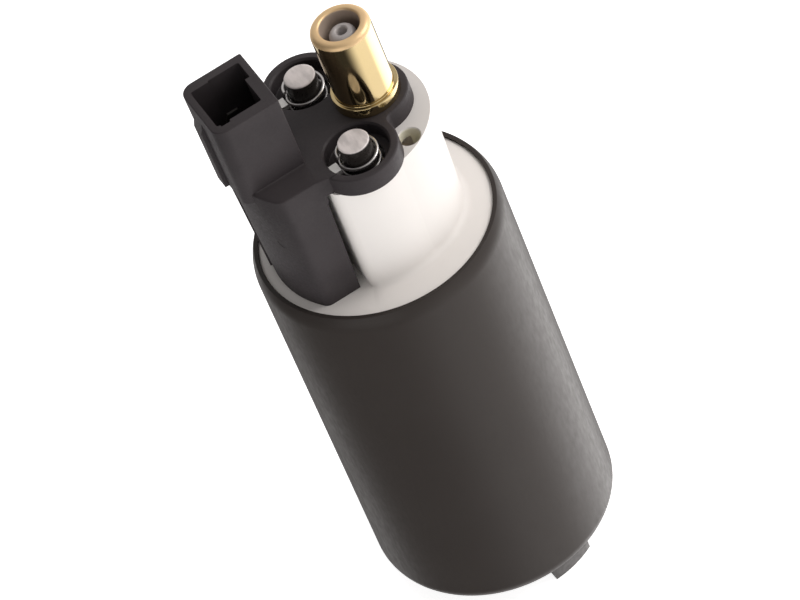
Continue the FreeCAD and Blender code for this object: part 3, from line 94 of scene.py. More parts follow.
class CaseSizes(bpy.types.PropertyGroup):
    """The steel can."""
    wall: size("Wall", "Sheet thickness of the can", 1.0)
    bend: size("Foot bend", "Outside radius of the bend at the can's foot", 2.8)
    mouth: size("Mouth radius", "Radius of the opening in the can's foot", 16.1)
    lip: size("Lip radius", "Outside radius of the turned lip", 18.3)
    lip_inside: size("Lip inside", "Inside radius of the turned lip", 17.6)
    crimp: size("Crimp", "Height over which the lip turns in", 1.4)
    shoulder: size("Shoulder", "Rounding where the lip starts to turn in", 5.0)
    paint: colour("Paint", "Colour of the can's paint", 0.036, 0.030, 0.027)


class CapSizes(bpy.types.PropertyGroup):
    """The pale end cap with its dome."""
    round_radius: size("Round side", "Radius of the dome's round side at the flange", 12.2)
    boss_radius: size("Outlet side", "Radius of the dome's outlet side at the flange", 11.7)
    boss_shift: size("Outlet side shift", "Centre of the outlet side beside the axis", 1.9)
    flat: size("Flat", "Distance of the dome's flat from the axis", 6.3)
    corner: size("Corner", "Rounding of the flat's upright edges", 2.0)
    hollow: size("Hollow", "Rounding between the dome's two round sides", 1.5)
    draft: size("Draft", "How much the dome widens to its top", 0.6)
    fillet: size("Foot fillet", "Fillet between the dome and the flange", 1.1)
    edge: size("Flange edge", "Rounding of the flange's outer edge", 0.8)
    rim: size("Rim", "Height of the cap's edge inside the can", 9.0)
    well_depth: size("Well depth", "Depth of the wells below the dome's top", 6.6)
    relief_bore: size("Relief bore", "Radius of the relief valve's bore", 1.9)
    relief_top: size("Relief top", "Upper end of that bore below the dome's top", 2.0)
    relief_foot: size("Relief foot", "Lower end of that bore below the dome's top", 12.0)
    vent_turn: direction("Vent direction", "Direction of the vent pocket from the axis", -49.0)
    vent_offset: size("Vent offset", "Distance of the vent pocket from the axis", 11.6)
    vent_radius: size("Vent radius", "Radius of the vent pocket", 1.6)
    vent_depth: size("Vent depth", "Depth of the vent pocket below the dome's top", 3.4)
    vent_flare: size("Vent flare", "Rounding of the vent pocket's rim", 0.2)
    plastic: colour("Plastic", "Colour of the end cap", 0.79, 0.76, 0.73)
    # Painted shade: an olive tint for the shaded wall of the vent pocket.
    shade: colour("Pocket", "Colour deep in the vent pocket", 0.80, 0.77, 0.60)


class HousingSizes(bpy.types.PropertyGroup):
    """The black connector housing."""
    plate: size("Plate", "Thickness of the lobed plate", 3.1)
    choke_lobe: size("Choke lobe", "Radius of the lobe round a choke", 6.15)
    outlet_lobe: size("Outlet lobe", "Radius of the lobe round the outlet", 6.0)
    hollow: size("Hollow", "Rounding between two lobes", 1.2)
    well: size("Well", "Radius of the well round a choke", 4.775)
    well_depth: size("Well depth", "Depth of a well's floor", 2.4)
    well_hole: size("Well hole", "Radius of the hole in a well's floor", 3.5)
    web_half: size("Web half width", "Half the web's width at the choke lobes", 10.6)
    web_shoulder: size("Web shoulder", "Distance of the web's widest place from the axis", 5.45)
    column_half: size("Column half width", "Half the column's width at the plate", 10.1)
    column_radius: size("Column radius", "Radius of the column's outer face at the plate", 16.7)
    column_inside: size("Column inside", "Distance of the column's inner face at the plate", 6.9)
    column_draft: size("Column draft", "How much the column narrows to its foot", 0.7)
    column_corner: size("Column corner", "Rounding of the column's outer edges", 1.5)
    column_head: size("Column head", "Height of the column's upper block, which has no draft", 4.6)
    column_step: size("Column step", "Step under the column's upper block", 0.35)
    tower_half: size("Tower half width", "Half the tower's width at its top", 6.1)
    tower_draft: size("Tower draft", "How much the tower narrows to its foot", 0.6)
    tower_outside: size("Tower outside", "Distance of the tower's outer face", 17.1)
    tower_corner: size("Tower corner", "Rounding of the tower's outer edges", 2.0)
    tower_fillet: size("Tower fillet", "Fillet between the tower and the plate", 0.35)
    latch_width: size("Latch width", "Width of the latch rib", 2.6)
    latch_shift: size("Latch shift", "Middle of the latch rib beside the tower's middle", 1.5)
    latch_proud: size("Latch height", "Height of the latch rib", 0.6)
    latch_length: size("Latch length", "Length of the latch rib", 13.0)
    latch_drop: size("Latch drop", "Start of the latch rib below the tower's top", 2.4)
    spine_start: size("Spine start", "Side of the column's rib beside the middle", 2.7)
    spine_width: size("Spine width", "Width of the column's rib", 3.0)
    spine_proud: size("Spine height", "Height of the column's rib at its foot", 0.3)
    mark: size("Ejector mark", "Radius of the ejector mark", 0.9)
    mark_depth: size("Mark depth", "Depth of the ejector mark", 0.10)
    mark_height: size("Mark height", "Height of the ejector mark above the column's foot", 13.2)
    mark_turn: direction("Mark direction", "Direction of the ejector mark", -155.6)
    socket_half: size("Socket half width", "Half the cavity's width", 4.3)
    socket_depth: size("Socket depth", "Depth of the cavity", 11.5)
    edge: size("Edge", "Rounding of the moulding's edges", 0.25)
    plastic: colour("Plastic", "Colour of the housing", 0.042, 0.036, 0.038)


class OutletSizes(bpy.types.PropertyGroup):
    """The brass tube and the valve cage in it."""
    tube: size("Tube", "Outside radius of the tube", 4.45)
    bore: size("Bore", "Radius of the tube's bore", 2.95)
    rim: size("Rim", "Rounding of the tube's mouth, outside", 0.95)
    rim_inside: size("Rim inside", "Rounding of the tube's mouth, inside", 0.45)
    fit: size("Fit", "Gap round the tube in its hole", 0.02)
    collar: size("Collar", "Radius of the collar", 5.0)
    collar_height: size("Collar height", "Height of the collar", 1.75)
    seat: size("Seat", "Radius of the hole in the tube's foot", 1.8)
    floor: size("Floor", "Thickness of the tube's foot", 2.0)
    nose: size("Valve nose", "Radius of the valve cage's nose", 2.0)
    nose_length: size("Nose length", "Length of the valve cage's nose", 3.0)
    hub: size("Valve hub", "Radius of the valve cage's hub", 1.65)
    hub_bore: size("Hub bore", "Radius of the hollow for the valve's stem", 0.8)
    ribs: IntProperty(name="Ribs", description="Ribs of the valve cage", default=3, min=1, max=12)
    rib: size("Rib", "Thickness of a rib", 1.1)
    rib_inside: size("Rib root", "Radius at which a rib starts, inside the hub", 1.2)
    rib_outside: size("Rib reach", "Radius at which a rib ends", 2.85)
    brass: colour("Brass", "Colour of the tube", 0.60, 0.47, 0.25)
    matte: colour("Matte mouth", "Colour of the tube's matte mouth", 0.80, 0.56, 0.30)
    dull: colour("Dull bore", "Colour of the unpolished bore", 0.42, 0.34, 0.28)
    cage: colour("Valve cage", "Colour of the valve cage", 0.47, 0.44, 0.43)


class ChokeSizes(bpy.types.PropertyGroup):
    """The two suppression chokes."""
    core: size("Core", "Radius of the ferrite core", 2.375)
    edge: size("Edge", "Rounding of the core's ends", 0.28)
    coil: size("Coil", "Mean radius of the coil", 2.875)
    wire: size("Wire", "Thickness of the coil's wire", 0.55)
    turns: IntProperty(name="Turns", description="Turns of the coil", default=5, min=1, max=20)
    ferrite: colour("Ground end", "Colour of the cores' ground ends", 0.76, 0.70, 0.68)
    side: colour("Ferrite", "Colour of the cores' sides", 0.030, 0.026, 0.024)
    tin: colour("Wire", "Colour of the tinned wire", 0.58, 0.56, 0.55)


class TerminalSizes(bpy.types.PropertyGroup):
    """The two sheet terminals."""
    sheet: size("Sheet", "Thickness of the sheet", 0.8)
    blade: size("Blade", "Width of a blade", 2.8)
    taper: size("Taper", "Length of a blade's tapered tip", 0.8)
    apart: size("Blade place", "Distance of a blade from the socket's middle", 2.1)
    bar: size("Bar", "Half the width of the bar under a blade", 1.2)
    bend_start: size("Bend start", "Distance of the elbow's outer edge from the axis", 7.0)
    bend_end: size("Bend end", "Distance of the elbow's inner edge from the axis", 4.6)
    tab: size("Tab", "Half the width of a tab", 0.9)
    tab_start: size("Tab start", "Distance of a tab's outer end from the axis", 5.8)
    tab_reach: size("Tab reach", "How far a tab runs on under its coil", 0.35)
    tin: colour("Tin", "Colour of the tinned tabs", 0.78, 0.76, 0.74)
    # Painted shade: the blades are bright tin like the tabs, painted dark for the shade in the
    # socket.
    dull: colour("Blades", "Colour of the blades in the socket", 0.20, 0.19, 0.18)


class CoverSizes(bpy.types.PropertyGroup):
    """The inlet cover."""
    edge: size("Edge", "Rounding of the casting's edges", 0.12)
    alloy: colour("Alloy", "Colour of the casting", 0.068, 0.063, 0.061)


GROUPS = {
    "pump_case_sizes": CaseSizes,
    "pump_cap_sizes": CapSizes,
    "pump_housing_sizes": HousingSizes,
    "pump_outlet_sizes": OutletSizes,
    "pump_choke_sizes": ChokeSizes,
    "pump_terminal_sizes": TerminalSizes,
    "pump_cover_sizes": CoverSizes,
}


# Modelling

def deselect():
    """Leaves edit mode and selects nothing."""
    if bpy.context.object and bpy.context.object.mode != "OBJECT":
        bpy.ops.object.mode_set(mode="OBJECT")
    bpy.ops.object.select_all(action="DESELECT")


def pick(piece):
    """Selects one piece and makes it active."""
    deselect()
    piece.select_set(True)
    bpy.context.view_layer.objects.active = piece


def edit(piece, mode="EDGE"):
    """Opens a piece for editing with everything selected."""
    pick(piece)
    bpy.ops.object.mode_set(mode="EDIT")
    bpy.ops.mesh.select_mode(type=mode)
    select_all()


def select_all():
    """Selects all of the piece that is being edited."""
    bpy.ops.mesh.select_all(action="SELECT")


def pull(offset):
    """Extrudes what is selected."""
    bpy.ops.mesh.extrude_region_move(TRANSFORM_OT_translate={"value": offset})


def drawn(name, points):
    """A new piece that is a chain of edges through points, pulled out point by point."""
    deselect()
    bpy.ops.mesh.primitive_plane_add(size=MM, location=(0, 0, 0))
    piece = bpy.context.object
    piece.name = name
    edit(piece, "VERT")
    bpy.ops.mesh.merge(type="CENTER")
    bpy.ops.transform.translate(value=points[0])
    for start, end in zip(points, points[1:]):
        pull(Vector(end) - Vector(start))
    select_all()
    return piece


def inside_out(piece):
    """Whether a closed piece's faces point inwards, which the sign of its volume shows."""
    points, volume = piece.data.vertices, 0.0
    for face in piece.data.polygons:
        first, *others = (points[i].co - points[0].co for i in face.vertices)
        volume += sum(first.dot(a.cross(b)) for a, b in zip(others, others[1:]))
    return volume < 0.0


def tidy_mesh(piece):
    """Merges doubles and turns all faces outwards."""
    edit(piece)
    bpy.ops.mesh.remove_doubles(threshold=0.002 * MM)
    bpy.ops.mesh.normals_make_consistent(inside=False)
    deselect()
    if inside_out(piece):
        edit(piece)
        bpy.ops.mesh.flip_normals()
        deselect()


def turned(name, profile, x=0.0, y=0.0, steps=96):
    """A closed profile of (radius, height) spun about a vertical axis at x, y."""
    points = [(radius, 0.0, height) for radius, height in profile]
    closed = points if min(p[0] for p in points) < 1e-9 else points + [points[0]]
    piece = drawn(name, closed)
    bpy.ops.mesh.spin(steps=steps, angle=2 * math.pi, center=(0, 0, 0), axis=(0, 0, 1))
    select_all()
    bpy.ops.transform.translate(value=(x, y, 0))
    tidy_mesh(piece)
    return piece


def stacked(name, outline, levels, centre=(0.0, 0.0)):
    """A flat outline raised through levels of (height, x scale, y scale) about a centre."""
    height, wide, deep = levels[0]
    piece = drawn(name, [(centre[0] + (x - centre[0]) * wide, centre[1] + (y - centre[1]) * deep,
                          height) for x, y in outline])
    bpy.ops.mesh.edge_face_add()
    for level, x_scale, y_scale in levels[1:]:
        pull((0, 0, level - height))
        bpy.ops.transform.resize(value=(x_scale / wide, y_scale / deep, 1.0),
                                 center_override=(centre[0], centre[1], level))
        height, wide, deep = level, x_scale, y_scale
    tidy_mesh(piece)
    return piece


def raised(name, outline, low, high, growth=(1.0, 1.0), centre=(0.0, 0.0)):
    """A flat outline raised from low to high, its top scaled about a centre for draft."""
    return stacked(name, outline, [(low, 1.0, 1.0), (high, growth[0], growth[1])], centre)


def footed(low, fillet, reach_x, reach_y):
    """Levels of a fillet that widens a form's foot, from a height upwards."""
    levels, steps = [], 5
    for i in range(steps + 1):
        angle = math.pi / 2 * i / steps
        margin = fillet * (1.0 - math.sin(angle))
        wide = 1.0 + margin / reach_x if reach_x else 1.0
        levels.append((low + fillet * (1.0 - math.cos(angle)), wide, 1.0 + margin / reach_y))
    return levels


def box(name, x_range, y_range, z_range):
    """A box between pairs of coordinates."""
    (x0, x1), (y0, y1), (z0, z1) = x_range, y_range, z_range
    return raised(name, [(x0, y0), (x1, y0), (x1, y1), (x0, y1)], z0, z1)


def select_where(piece, kind, test):
    """Selects the piece's faces or edges that pass a test, and opens it for editing."""
    edit(piece, kind)
    bpy.ops.mesh.select_all(action="DESELECT")
    bpy.ops.object.mode_set(mode="OBJECT")
    mesh = piece.data
    if kind == "FACE":
        for face in mesh.polygons:
            face.select = test(face.center, face.normal)
    else:
        for edge in mesh.edges:
            edge.select = test(*(mesh.vertices[i].co for i in edge.vertices))
    bpy.ops.object.mode_set(mode="EDIT")


def ease_top(piece, height, width):
    """Rounds the edges that lie at a height."""
    near = 0.01 * MM
    select_where(piece, "EDGE",
                 lambda a, b: abs(a.z - height) < near and abs(b.z - height) < near)
    bpy.ops.mesh.bevel(offset=width, segments=3, affect="EDGES", clamp_overlap=False)
    deselect()


def combine(piece, others, operation):
    """Joins other pieces to a piece or cuts them from it, and removes them."""
    for other in others:
        pick(piece)
        change = piece.modifiers.new(operation, "BOOLEAN")
        change.operation = operation
        change.solver = "EXACT"
        change.object = other
        bpy.ops.object.modifier_apply(modifier=change.name)
        bpy.data.objects.remove(other, do_unlink=True)
    tidy_mesh(piece)
    return piece


def smooth(piece, angle=40.0):
    """Smooth shading except at edges sharper than an angle."""
    pick(piece)
    bpy.ops.object.shade_smooth_by_angle(angle=math.radians(angle))
    deselect()


def worn_in(piece, width):
    """Joins the faces of each flat, rounds all sharp edges a little and smooths the piece."""
    flat, crease = 1.0, 30.0
    edit(piece)
    bpy.ops.mesh.dissolve_limited(angle_limit=math.radians(flat))
    pick(piece)
    bevel = piece.modifiers.new("Edges", "BEVEL")
    bevel.width = width
    bevel.segments = 2
    bevel.limit_method = "ANGLE"
    bevel.angle_limit = math.radians(crease)
    bpy.ops.object.modifier_apply(modifier=bevel.name)
    smooth(piece, crease)


def copied(source, name, offset=(0, 0, 0), turn=0.0, centre=(0, 0, 0)):
    """A copy of a piece with a mesh of its own, turned about a centre and moved."""
    deselect()
    piece = source.copy()
    piece.data = piece.data.copy()
    piece.name = name
    bpy.context.collection.objects.link(piece)
    piece.hide_render = False
    piece.hide_viewport = False
    edit(piece)
    if turn:
        bpy.ops.transform.rotate(value=turn, orient_axis="Z", center_override=centre)
    bpy.ops.transform.translate(value=offset)
    tidy_mesh(piece)
    return piece


def fitted(piece, body, slot, material, *nodes):
    """Gives a finished piece its material, and puts it on its body in place of the nodes."""
    piece.data.materials.clear()
    piece.data.materials.append(material)
    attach(piece, body)
    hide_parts(*nodes)
    return piece


# Curves in a plane

def arc(centre, radius, start, end, step=2 * FINE):
    """Points of an arc between two directions in degrees."""
    count = max(2, math.ceil(abs(end - start) / step))
    points = []
    for i in range(count + 1):
        angle = math.radians(start + (end - start) * i / count)
        points.append((centre[0] + radius * math.cos(angle), centre[1] + radius * math.sin(angle)))
    return points


def rounded(corners, step=COARSE):
    """A closed outline through (x, y, rounding) corners."""
    points = []
    count = len(corners)
    for i, (x, y, radius) in enumerate(corners):
        here = Vector((x, y))
        before = (Vector(corners[i - 1][:2]) - here).normalized()
        after = (Vector(corners[(i + 1) % count][:2]) - here).normalized()
        if radius <= 0.0:
            points.append((x, y))
            continue
        half = before.angle(after) / 2
        centre = here + (before + after).normalized() * (radius / math.sin(half))
        reach = radius / math.tan(half)
        first, last = here + before * reach - centre, here + after * reach - centre
        turn = math.degrees(math.atan2(first.x * last.y - first.y * last.x, first.dot(last)))
        start = math.degrees(math.atan2(first.y, first.x))
        points += arc(centre, radius, start, start + turn, step)
    return points


def heading(origin, target):
    """The direction from one point to another in degrees."""
    return math.degrees(math.atan2(target[1] - origin[1], target[0] - origin[0]))


def meeting(first, first_radius, second, second_radius):
    """Where two circles meet, on the left of the way from the first centre to the second."""
    a, b = Vector(first), Vector(second)
    apart = (b - a).length
    along = (first_radius ** 2 - second_radius ** 2 + apart ** 2) / (2 * apart)
    up = math.sqrt(first_radius ** 2 - along ** 2)
    forward = (b - a) / apart
    return a + forward * along + Vector((-forward.y, forward.x)) * up


def mirrored(half):
    """An outline from its upper half, which runs from +x round to -x."""
    return half + [(x, -y) for x, y in reversed(half)]


# Finishes

def plug(tree, socket, value):
    """Links a socket to another node's output, or sets its value."""
    if isinstance(value, bpy.types.NodeSocket):
        tree.links.new(value, socket)
    else:
        socket.default_value = value


def node(tree, kind, inputs, **settings):
    """The outputs of a new node, after its settings are made and its inputs filled."""
    made = tree.nodes.new("ShaderNode" + kind)
    for name, value in settings.items():
        setattr(made, name, value)
    for name, value in inputs.items():
        plug(tree, made.inputs[name], value)
    return made.outputs


def place_on(tree):
    """A point's place in the piece's own coordinates."""
    return node(tree, "TexCoord", {})["Object"]


def noise(tree, scale, detail, stretch=(1.0, 1.0, 1.0)):
    """A noise in the piece's own coordinates."""
    place = node(tree, "Mapping", {"Vector": place_on(tree), "Scale": stretch})["Vector"]
    return node(tree, "TexNoise", {"Vector": place, "Scale": scale, "Detail": detail,
                                   "Roughness": 0.55})["Fac"]


def tones(tree, source, low, high, dark, light):
    """A colour between two tones while a value goes from low to high."""
    made = tree.nodes.new("ShaderNodeValToRGB")
    for element, position, tone in zip(made.color_ramp.elements, (low, high), (dark, light)):
        element.position = position
        element.color = (*tone, 1.0)
    plug(tree, made.inputs["Fac"], source)
    return made.outputs["Color"]


def span(tree, source, start, end, low=0.0, high=1.0, kind="LINEAR"):
    """A value that goes from low to high while its source goes from start to end."""
    return node(tree, "MapRange", {"Value": source, "From Min": start, "From Max": end,
                                   "To Min": low, "To Max": high},
                interpolation_type=kind)["Result"]


def both(tree, first, second):
    """The product of two masks."""
    return node(tree, "Math", {0: first, 1: second}, operation="MULTIPLY")["Value"]


def height_in(tree):
    """The height of a point of the piece."""
    return node(tree, "SeparateXYZ", {"Vector": place_on(tree)})["Z"]


def distance_in(tree, x, y):
    """The distance of a point of the piece from a vertical axis."""
    flat = node(tree, "VectorMath", {0: place_on(tree), 1: (1.0, 1.0, 0.0), 2: (-x, -y, 0.0)},
                operation="MULTIPLY_ADD")["Vector"]
    return node(tree, "VectorMath", {0: flat}, operation="LENGTH")["Value"]


def patched(material, factor, shade, rough, metallic=0.0):
    """Gives the part of a finish that a mask picks another colour, roughness and metal share."""
    tree = material.node_tree
    for name, value in (("Base Color", shade), ("Roughness", rough), ("Metallic", metallic)):
        under = tree.nodes["Principled BSDF"].inputs[name]
        before, after, result, kind = (2, 3, 0, "FLOAT")
        if name == "Base Color":
            before, after, result, kind = (6, 7, 2, "RGBA")
            if not isinstance(value, bpy.types.NodeSocket):
                value = (*value, 1.0)
        own = under.links[0].from_socket if under.is_linked else under.default_value
        if own == value:
            continue
        mixed = node(tree, "Mix", {0: factor, before: own, after: value}, data_type=kind)
        plug(tree, under, mixed[result])
    return material


def shaded(base, factor):
    """A colour made darker or lighter."""
    return tuple(min(1.0, channel * factor) for channel in base)


def finish(name, base, rough, metallic=0.0, grain=900.0, mottle=60.0, contrast=0.12,
           relief=0.15, depth=0.02, stretch=(1.0, 1.0, 1.0), coat=0.0, specular=0.5):
    """A finish with mottled colour, uneven roughness and a fine grain."""
    low, high, uneven = 0.3, 0.7, 0.15
    material = bpy.data.materials.new(name)
    material.use_nodes = True
    tree = material.node_tree
    blotch, fine = noise(tree, mottle, 5.0), noise(tree, grain, 3.0, stretch)
    tint = tones(tree, blotch, low, high, shaded(base, 1.0 - contrast),
                 shaded(base, 1.0 + contrast))
    gloss = span(tree, fine, low, high, rough * (1.0 - uneven), min(1.0, rough * (1.0 + uneven)))
    bump = node(tree, "Bump", {"Strength": relief, "Distance": depth * MM, "Height": fine})
    for socket, value in (("Base Color", tint), ("Roughness", gloss), ("Metallic", metallic),
                          ("Specular IOR Level", specular), ("Coat Weight", coat),
                          ("Coat Roughness", 0.25), ("Normal", bump["Normal"])):
        plug(tree, tree.nodes["Principled BSDF"].inputs[socket], value)
    return material


def satin_paint(base):
    """Satin paint on the drawn steel can, with faint drawing lines along it."""
    return finish("satin_can_paint", base, 0.38, grain=1400.0, mottle=35.0, contrast=0.05,
                  relief=0.012, depth=0.010, stretch=(1.0, 1.0, 0.4), specular=0.16)


def pale_moulding(base, shade, vent, radius, floor):
    """Off-white acetal with a soft sheen, and painted olive shade in the vent pocket."""
    acetal = finish("pale_acetal", base, 0.5, grain=700.0, mottle=45.0, contrast=0.025,
                    relief=0.06, depth=0.02, specular=0.3)
    tree, outside, inside, under = acetal.node_tree, 0.12 * MM, 0.05 * MM, 0.5 * MM
    # Painted shade: the olive tint covers the vent pocket's wall and floor.
    across = span(tree, distance_in(tree, *vent), radius + outside, radius - inside)
    above = span(tree, height_in(tree), floor - 2 * under, floor - under)
    return patched(acetal, both(tree, across, above), shade, 0.5)


def black_moulding(base):
    """Black glass-filled nylon with a spark-eroded grain."""
    return finish("black_nylon", base, 0.55, grain=2600.0, mottle=120.0, contrast=0.14,
                  relief=0.35, depth=0.02, specular=0.22)


def turned_brass(base, matte, dull, x, bore, top):
    """Polished brass with fine turning rings, matte at the mouth and dull in the bore."""
    brass = finish("turned_brass", base, 0.11, metallic=1.0, grain=900.0, mottle=80.0,
                   contrast=0.05, relief=0.03, depth=0.005, stretch=(0.2, 0.2, 6.0))
    tree, matte_start, matte_full = brass.node_tree, top - 0.90 * MM, top - 0.75 * MM
    mouth = span(tree, height_in(tree), matte_start, matte_full)
    patched(brass, mouth, matte, 0.42, 0.5)
    inside = span(tree, distance_in(tree, x, 0.0), bore + BROKEN, bore)
    return patched(brass, inside, dull, 0.45, 0.1)


def ground_ferrite(base, side, top):
    """Dark ferrite with small pits, its end ground bright."""
    ferrite = finish("ground_ferrite", side, 0.30, grain=2500.0, mottle=500.0,
                     contrast=0.25, relief=0.3, depth=0.015)
    tree, end_start, end_full = ferrite.node_tree, top - 0.22 * MM, top - 0.10 * MM
    streaks = noise(tree, 700.0, 4.0, (1.0, 0.35, 1.0))
    ground = tones(tree, streaks, 0.35, 0.60, shaded(base, 0.72), base)
    return patched(ferrite, span(tree, height_in(tree), end_start, end_full), ground, 0.38)


def tinned_wire(base):
    """Tinned wire, bright and a little uneven."""
    return finish("tinned_wire", base, 0.34, metallic=1.0, grain=1500.0, mottle=300.0,
                  contrast=0.10, relief=0.10, depth=0.01)


def tinned_sheet(base, dull, foot):
    """Tinned sheet, bright at the tabs, with painted shade darkening the blades up in the socket.
    """
    tin = finish("tinned_sheet", base, 0.42, metallic=0.6, grain=1200.0, mottle=200.0,
                 contrast=0.08, relief=0.08, depth=0.01)
    # Painted shade: from this height up the sheet is painted dark, where the socket shades the
    # blades.
    tree, shaded_blade_start, shaded_blade_full = tin.node_tree, foot + 1.0 * MM, foot + 2.0 * MM
    return patched(tin, span(tree, height_in(tree), shaded_blade_start, shaded_blade_full), dull, 0.35, 1.0)


def grey_acetal(base):
    """Grey-white acetal of the valve."""
    return finish("grey_acetal", base, 0.35, grain=900.0, mottle=200.0, contrast=0.05,
                  relief=0.05, depth=0.01)


def die_cast_alloy(base):
    """Dull die-cast alloy with a rough skin."""
    return finish("die_cast_alloy", base, 0.55, metallic=0.15, grain=1800.0, mottle=150.0,
                  contrast=0.15, relief=0.35, depth=0.02)


# What several pieces share

def place_of(name):
    """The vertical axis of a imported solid."""
    low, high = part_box(name)
    return (low.x + high.x) / 2, (low.y + high.y) / 2


def copied_to_choke(piece, name, pole):
    """A copy, at a pole's choke, of a piece that is modelled on the pump's axis."""
    return copied(piece, name + pole, (*place_of("choke_core_" + pole), 0.0))


def at_both_chokes(piece, name):
    """Copies of a piece at both chokes, in place of the piece on the pump's axis."""
    copies = [copied_to_choke(piece, name, pole) for pole, _ in POLES]
    bpy.data.objects.remove(piece, do_unlink=True)
    return copies


class Levels:
    """The heights of the flange, of the dome's and the plate's top, and the outlet's offset."""
    def __init__(self):
        self.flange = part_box("connector_housing")[0].z - GAP
        self.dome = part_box("outlet_end_cap")[1].z
        self.plate = self.dome + bpy.context.scene.pump_housing_sizes.plate
        self.outlet = place_of("outlet_tube")[0]


def record_slots():
    """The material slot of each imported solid."""
    return {row["node"]: row["material_slot"] for row in frame["record"]["subparts"]}


class Builder:
    """What all the operators share: they undo as one step."""
    bl_options = {"REGISTER", "UNDO"}


class FUELPUMP_OT_case(Builder, bpy.types.Operator):
    """Turn the can with its bent foot and its lip"""
    bl_idname = "fuelpump.case"
    bl_label = "Case"

    def execute(self, context):
        sizes = context.scene.pump_case_sizes
        low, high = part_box("pump_case")
        radius, bore = high.x, high.x - sizes.wall
        mouth_edge, lip_edge, inner_drop, inner_round = 0.2 * MM, 0.12 * MM, 1.2 * MM, 0.6 * MM
        profile = rounded([
            (sizes.mouth, low.z, mouth_edge),
            (radius, low.z, sizes.bend),
            (radius, high.z - sizes.crimp, sizes.shoulder),
            (sizes.lip, high.z, lip_edge),
            (sizes.lip_inside, high.z, BROKEN),
            (bore, high.z - inner_drop, inner_round),
            (bore, low.z + sizes.wall, sizes.bend - sizes.wall),
            (sizes.mouth, low.z + sizes.wall, BROKEN),
        ], step=7.0)
        piece = turned("case_shell", profile, steps=160)
        smooth(piece)
        fitted(piece, "pump_body", "case_steel", satin_paint(sizes.paint), "pump_case")
        return {"FINISHED"}


class FUELPUMP_OT_end_cap(Builder, bpy.types.Operator):
    """Model the pale end cap: flange, dome, wells and vent pocket"""
    bl_idname = "fuelpump.end_cap"
    bl_label = "End cap"

    def dome_outline(self, sizes):
        """The dome's plan at the flange: two round sides, and a flat one with round corners."""
        big, small, shift = sizes.round_radius, sizes.boss_radius, sizes.boss_shift
        flat, corner, hollow = sizes.flat, sizes.corner, sizes.hollow
        blend = meeting((0, 0), big + hollow, (shift, 0), small + hollow)
        turn = Vector((corner - flat, math.sqrt((big - corner) ** 2 - (corner - flat) ** 2)))
        half = arc((shift, 0), small, 0.0, heading((shift, 0), blend))
        half += arc(blend, hollow, heading(blend, (shift, 0)) % 360.0,
                    heading(blend, (0, 0)) % 360.0, FINE)
        half += arc((0, 0), big, heading((0, 0), blend), heading((0, 0), turn))
        half += arc(turn, corner, heading((0, 0), turn), 180.0, COARSE)
        return mirrored(half)

    def drill(self, name, radius, low, high, x=0.0, y=0.0):
        """A round cutter that ends a little above a height."""
        over = high + OVER / 2
        return turned(name, [(0.0, low), (radius, low), (radius, over), (0.0, over)], x, y, 48)

    def moulding(self, sizes, at):
        """The flange with the dome on it."""
        radius, rim_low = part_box("outlet_end_cap")[1].x, at.flange - sizes.rim
        ring = turned("cap_moulding", rounded([
            (0.0, rim_low, 0.0),
            (radius, rim_low, 2 * BROKEN),
            (radius, at.flange, sizes.edge),
            (0.0, at.flange, 0.0),
        ]), steps=128)
        wide, deep = sizes.boss_shift + sizes.boss_radius + sizes.flat, sizes.round_radius
        levels = [(at.flange - OVER, 1.0 + sizes.fillet / wide, 1.0 + sizes.fillet / deep)]
        levels += footed(at.flange, sizes.fillet, wide, deep)
        levels.append((at.dome, 1.0 + sizes.draft / wide, 1.0 + sizes.draft / deep))
        dome = stacked("dome", self.dome_outline(sizes), levels, (-sizes.flat, 0.0))
        return combine(ring, [dome], "UNION")

    def cutters(self, sizes, at, vent):
        """Cutters for the wells, the vent pocket, the relief valve's bore and the tube."""
        hole, top = bpy.context.scene.pump_housing_sizes.well_hole, at.dome
        well = self.drill("well_cut", hole, top - sizes.well_depth, top)
        made = at_both_chokes(well, "well_cut_")
        floor, flare, floor_round = top - sizes.vent_depth, sizes.vent_flare, 0.6 * MM
        made.append(turned("vent_cut", rounded([
            (0.0, floor, 0.0),
            (sizes.vent_radius, floor, floor_round),
            (sizes.vent_radius, top - flare, flare),
            (sizes.vent_radius + flare * 2.0, top + flare, 0.0),
            (0.0, top + flare, 0.0)]), *vent, 48))
        made.append(self.drill("relief_cut", sizes.relief_bore, top - sizes.relief_foot,
                               top - sizes.relief_top, *place_of("relief_valve_plug")))
        tube = bpy.context.scene.pump_outlet_sizes
        tube_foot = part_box("outlet_tube")[0].z - BROKEN
        return made + [self.drill("tube_cut", tube.tube + tube.fit, tube_foot, top,
                                  at.outlet, 0.0)]

    def execute(self, context):
        sizes, at = context.scene.pump_cap_sizes, Levels()
        vent = (sizes.vent_offset * math.cos(sizes.vent_turn),
                sizes.vent_offset * math.sin(sizes.vent_turn))
        piece = self.moulding(sizes, at)
        combine(piece, self.cutters(sizes, at, vent), "DIFFERENCE")
        smooth(piece, 35.0)
        # The vent pocket gets painted olive shade.
        plastic = pale_moulding(sizes.plastic, sizes.shade, vent, sizes.vent_radius,
                                at.dome - sizes.vent_depth)
        fitted(piece, "pump_body", "cap_plastic", plastic, "outlet_end_cap")
        return {"FINISHED"}


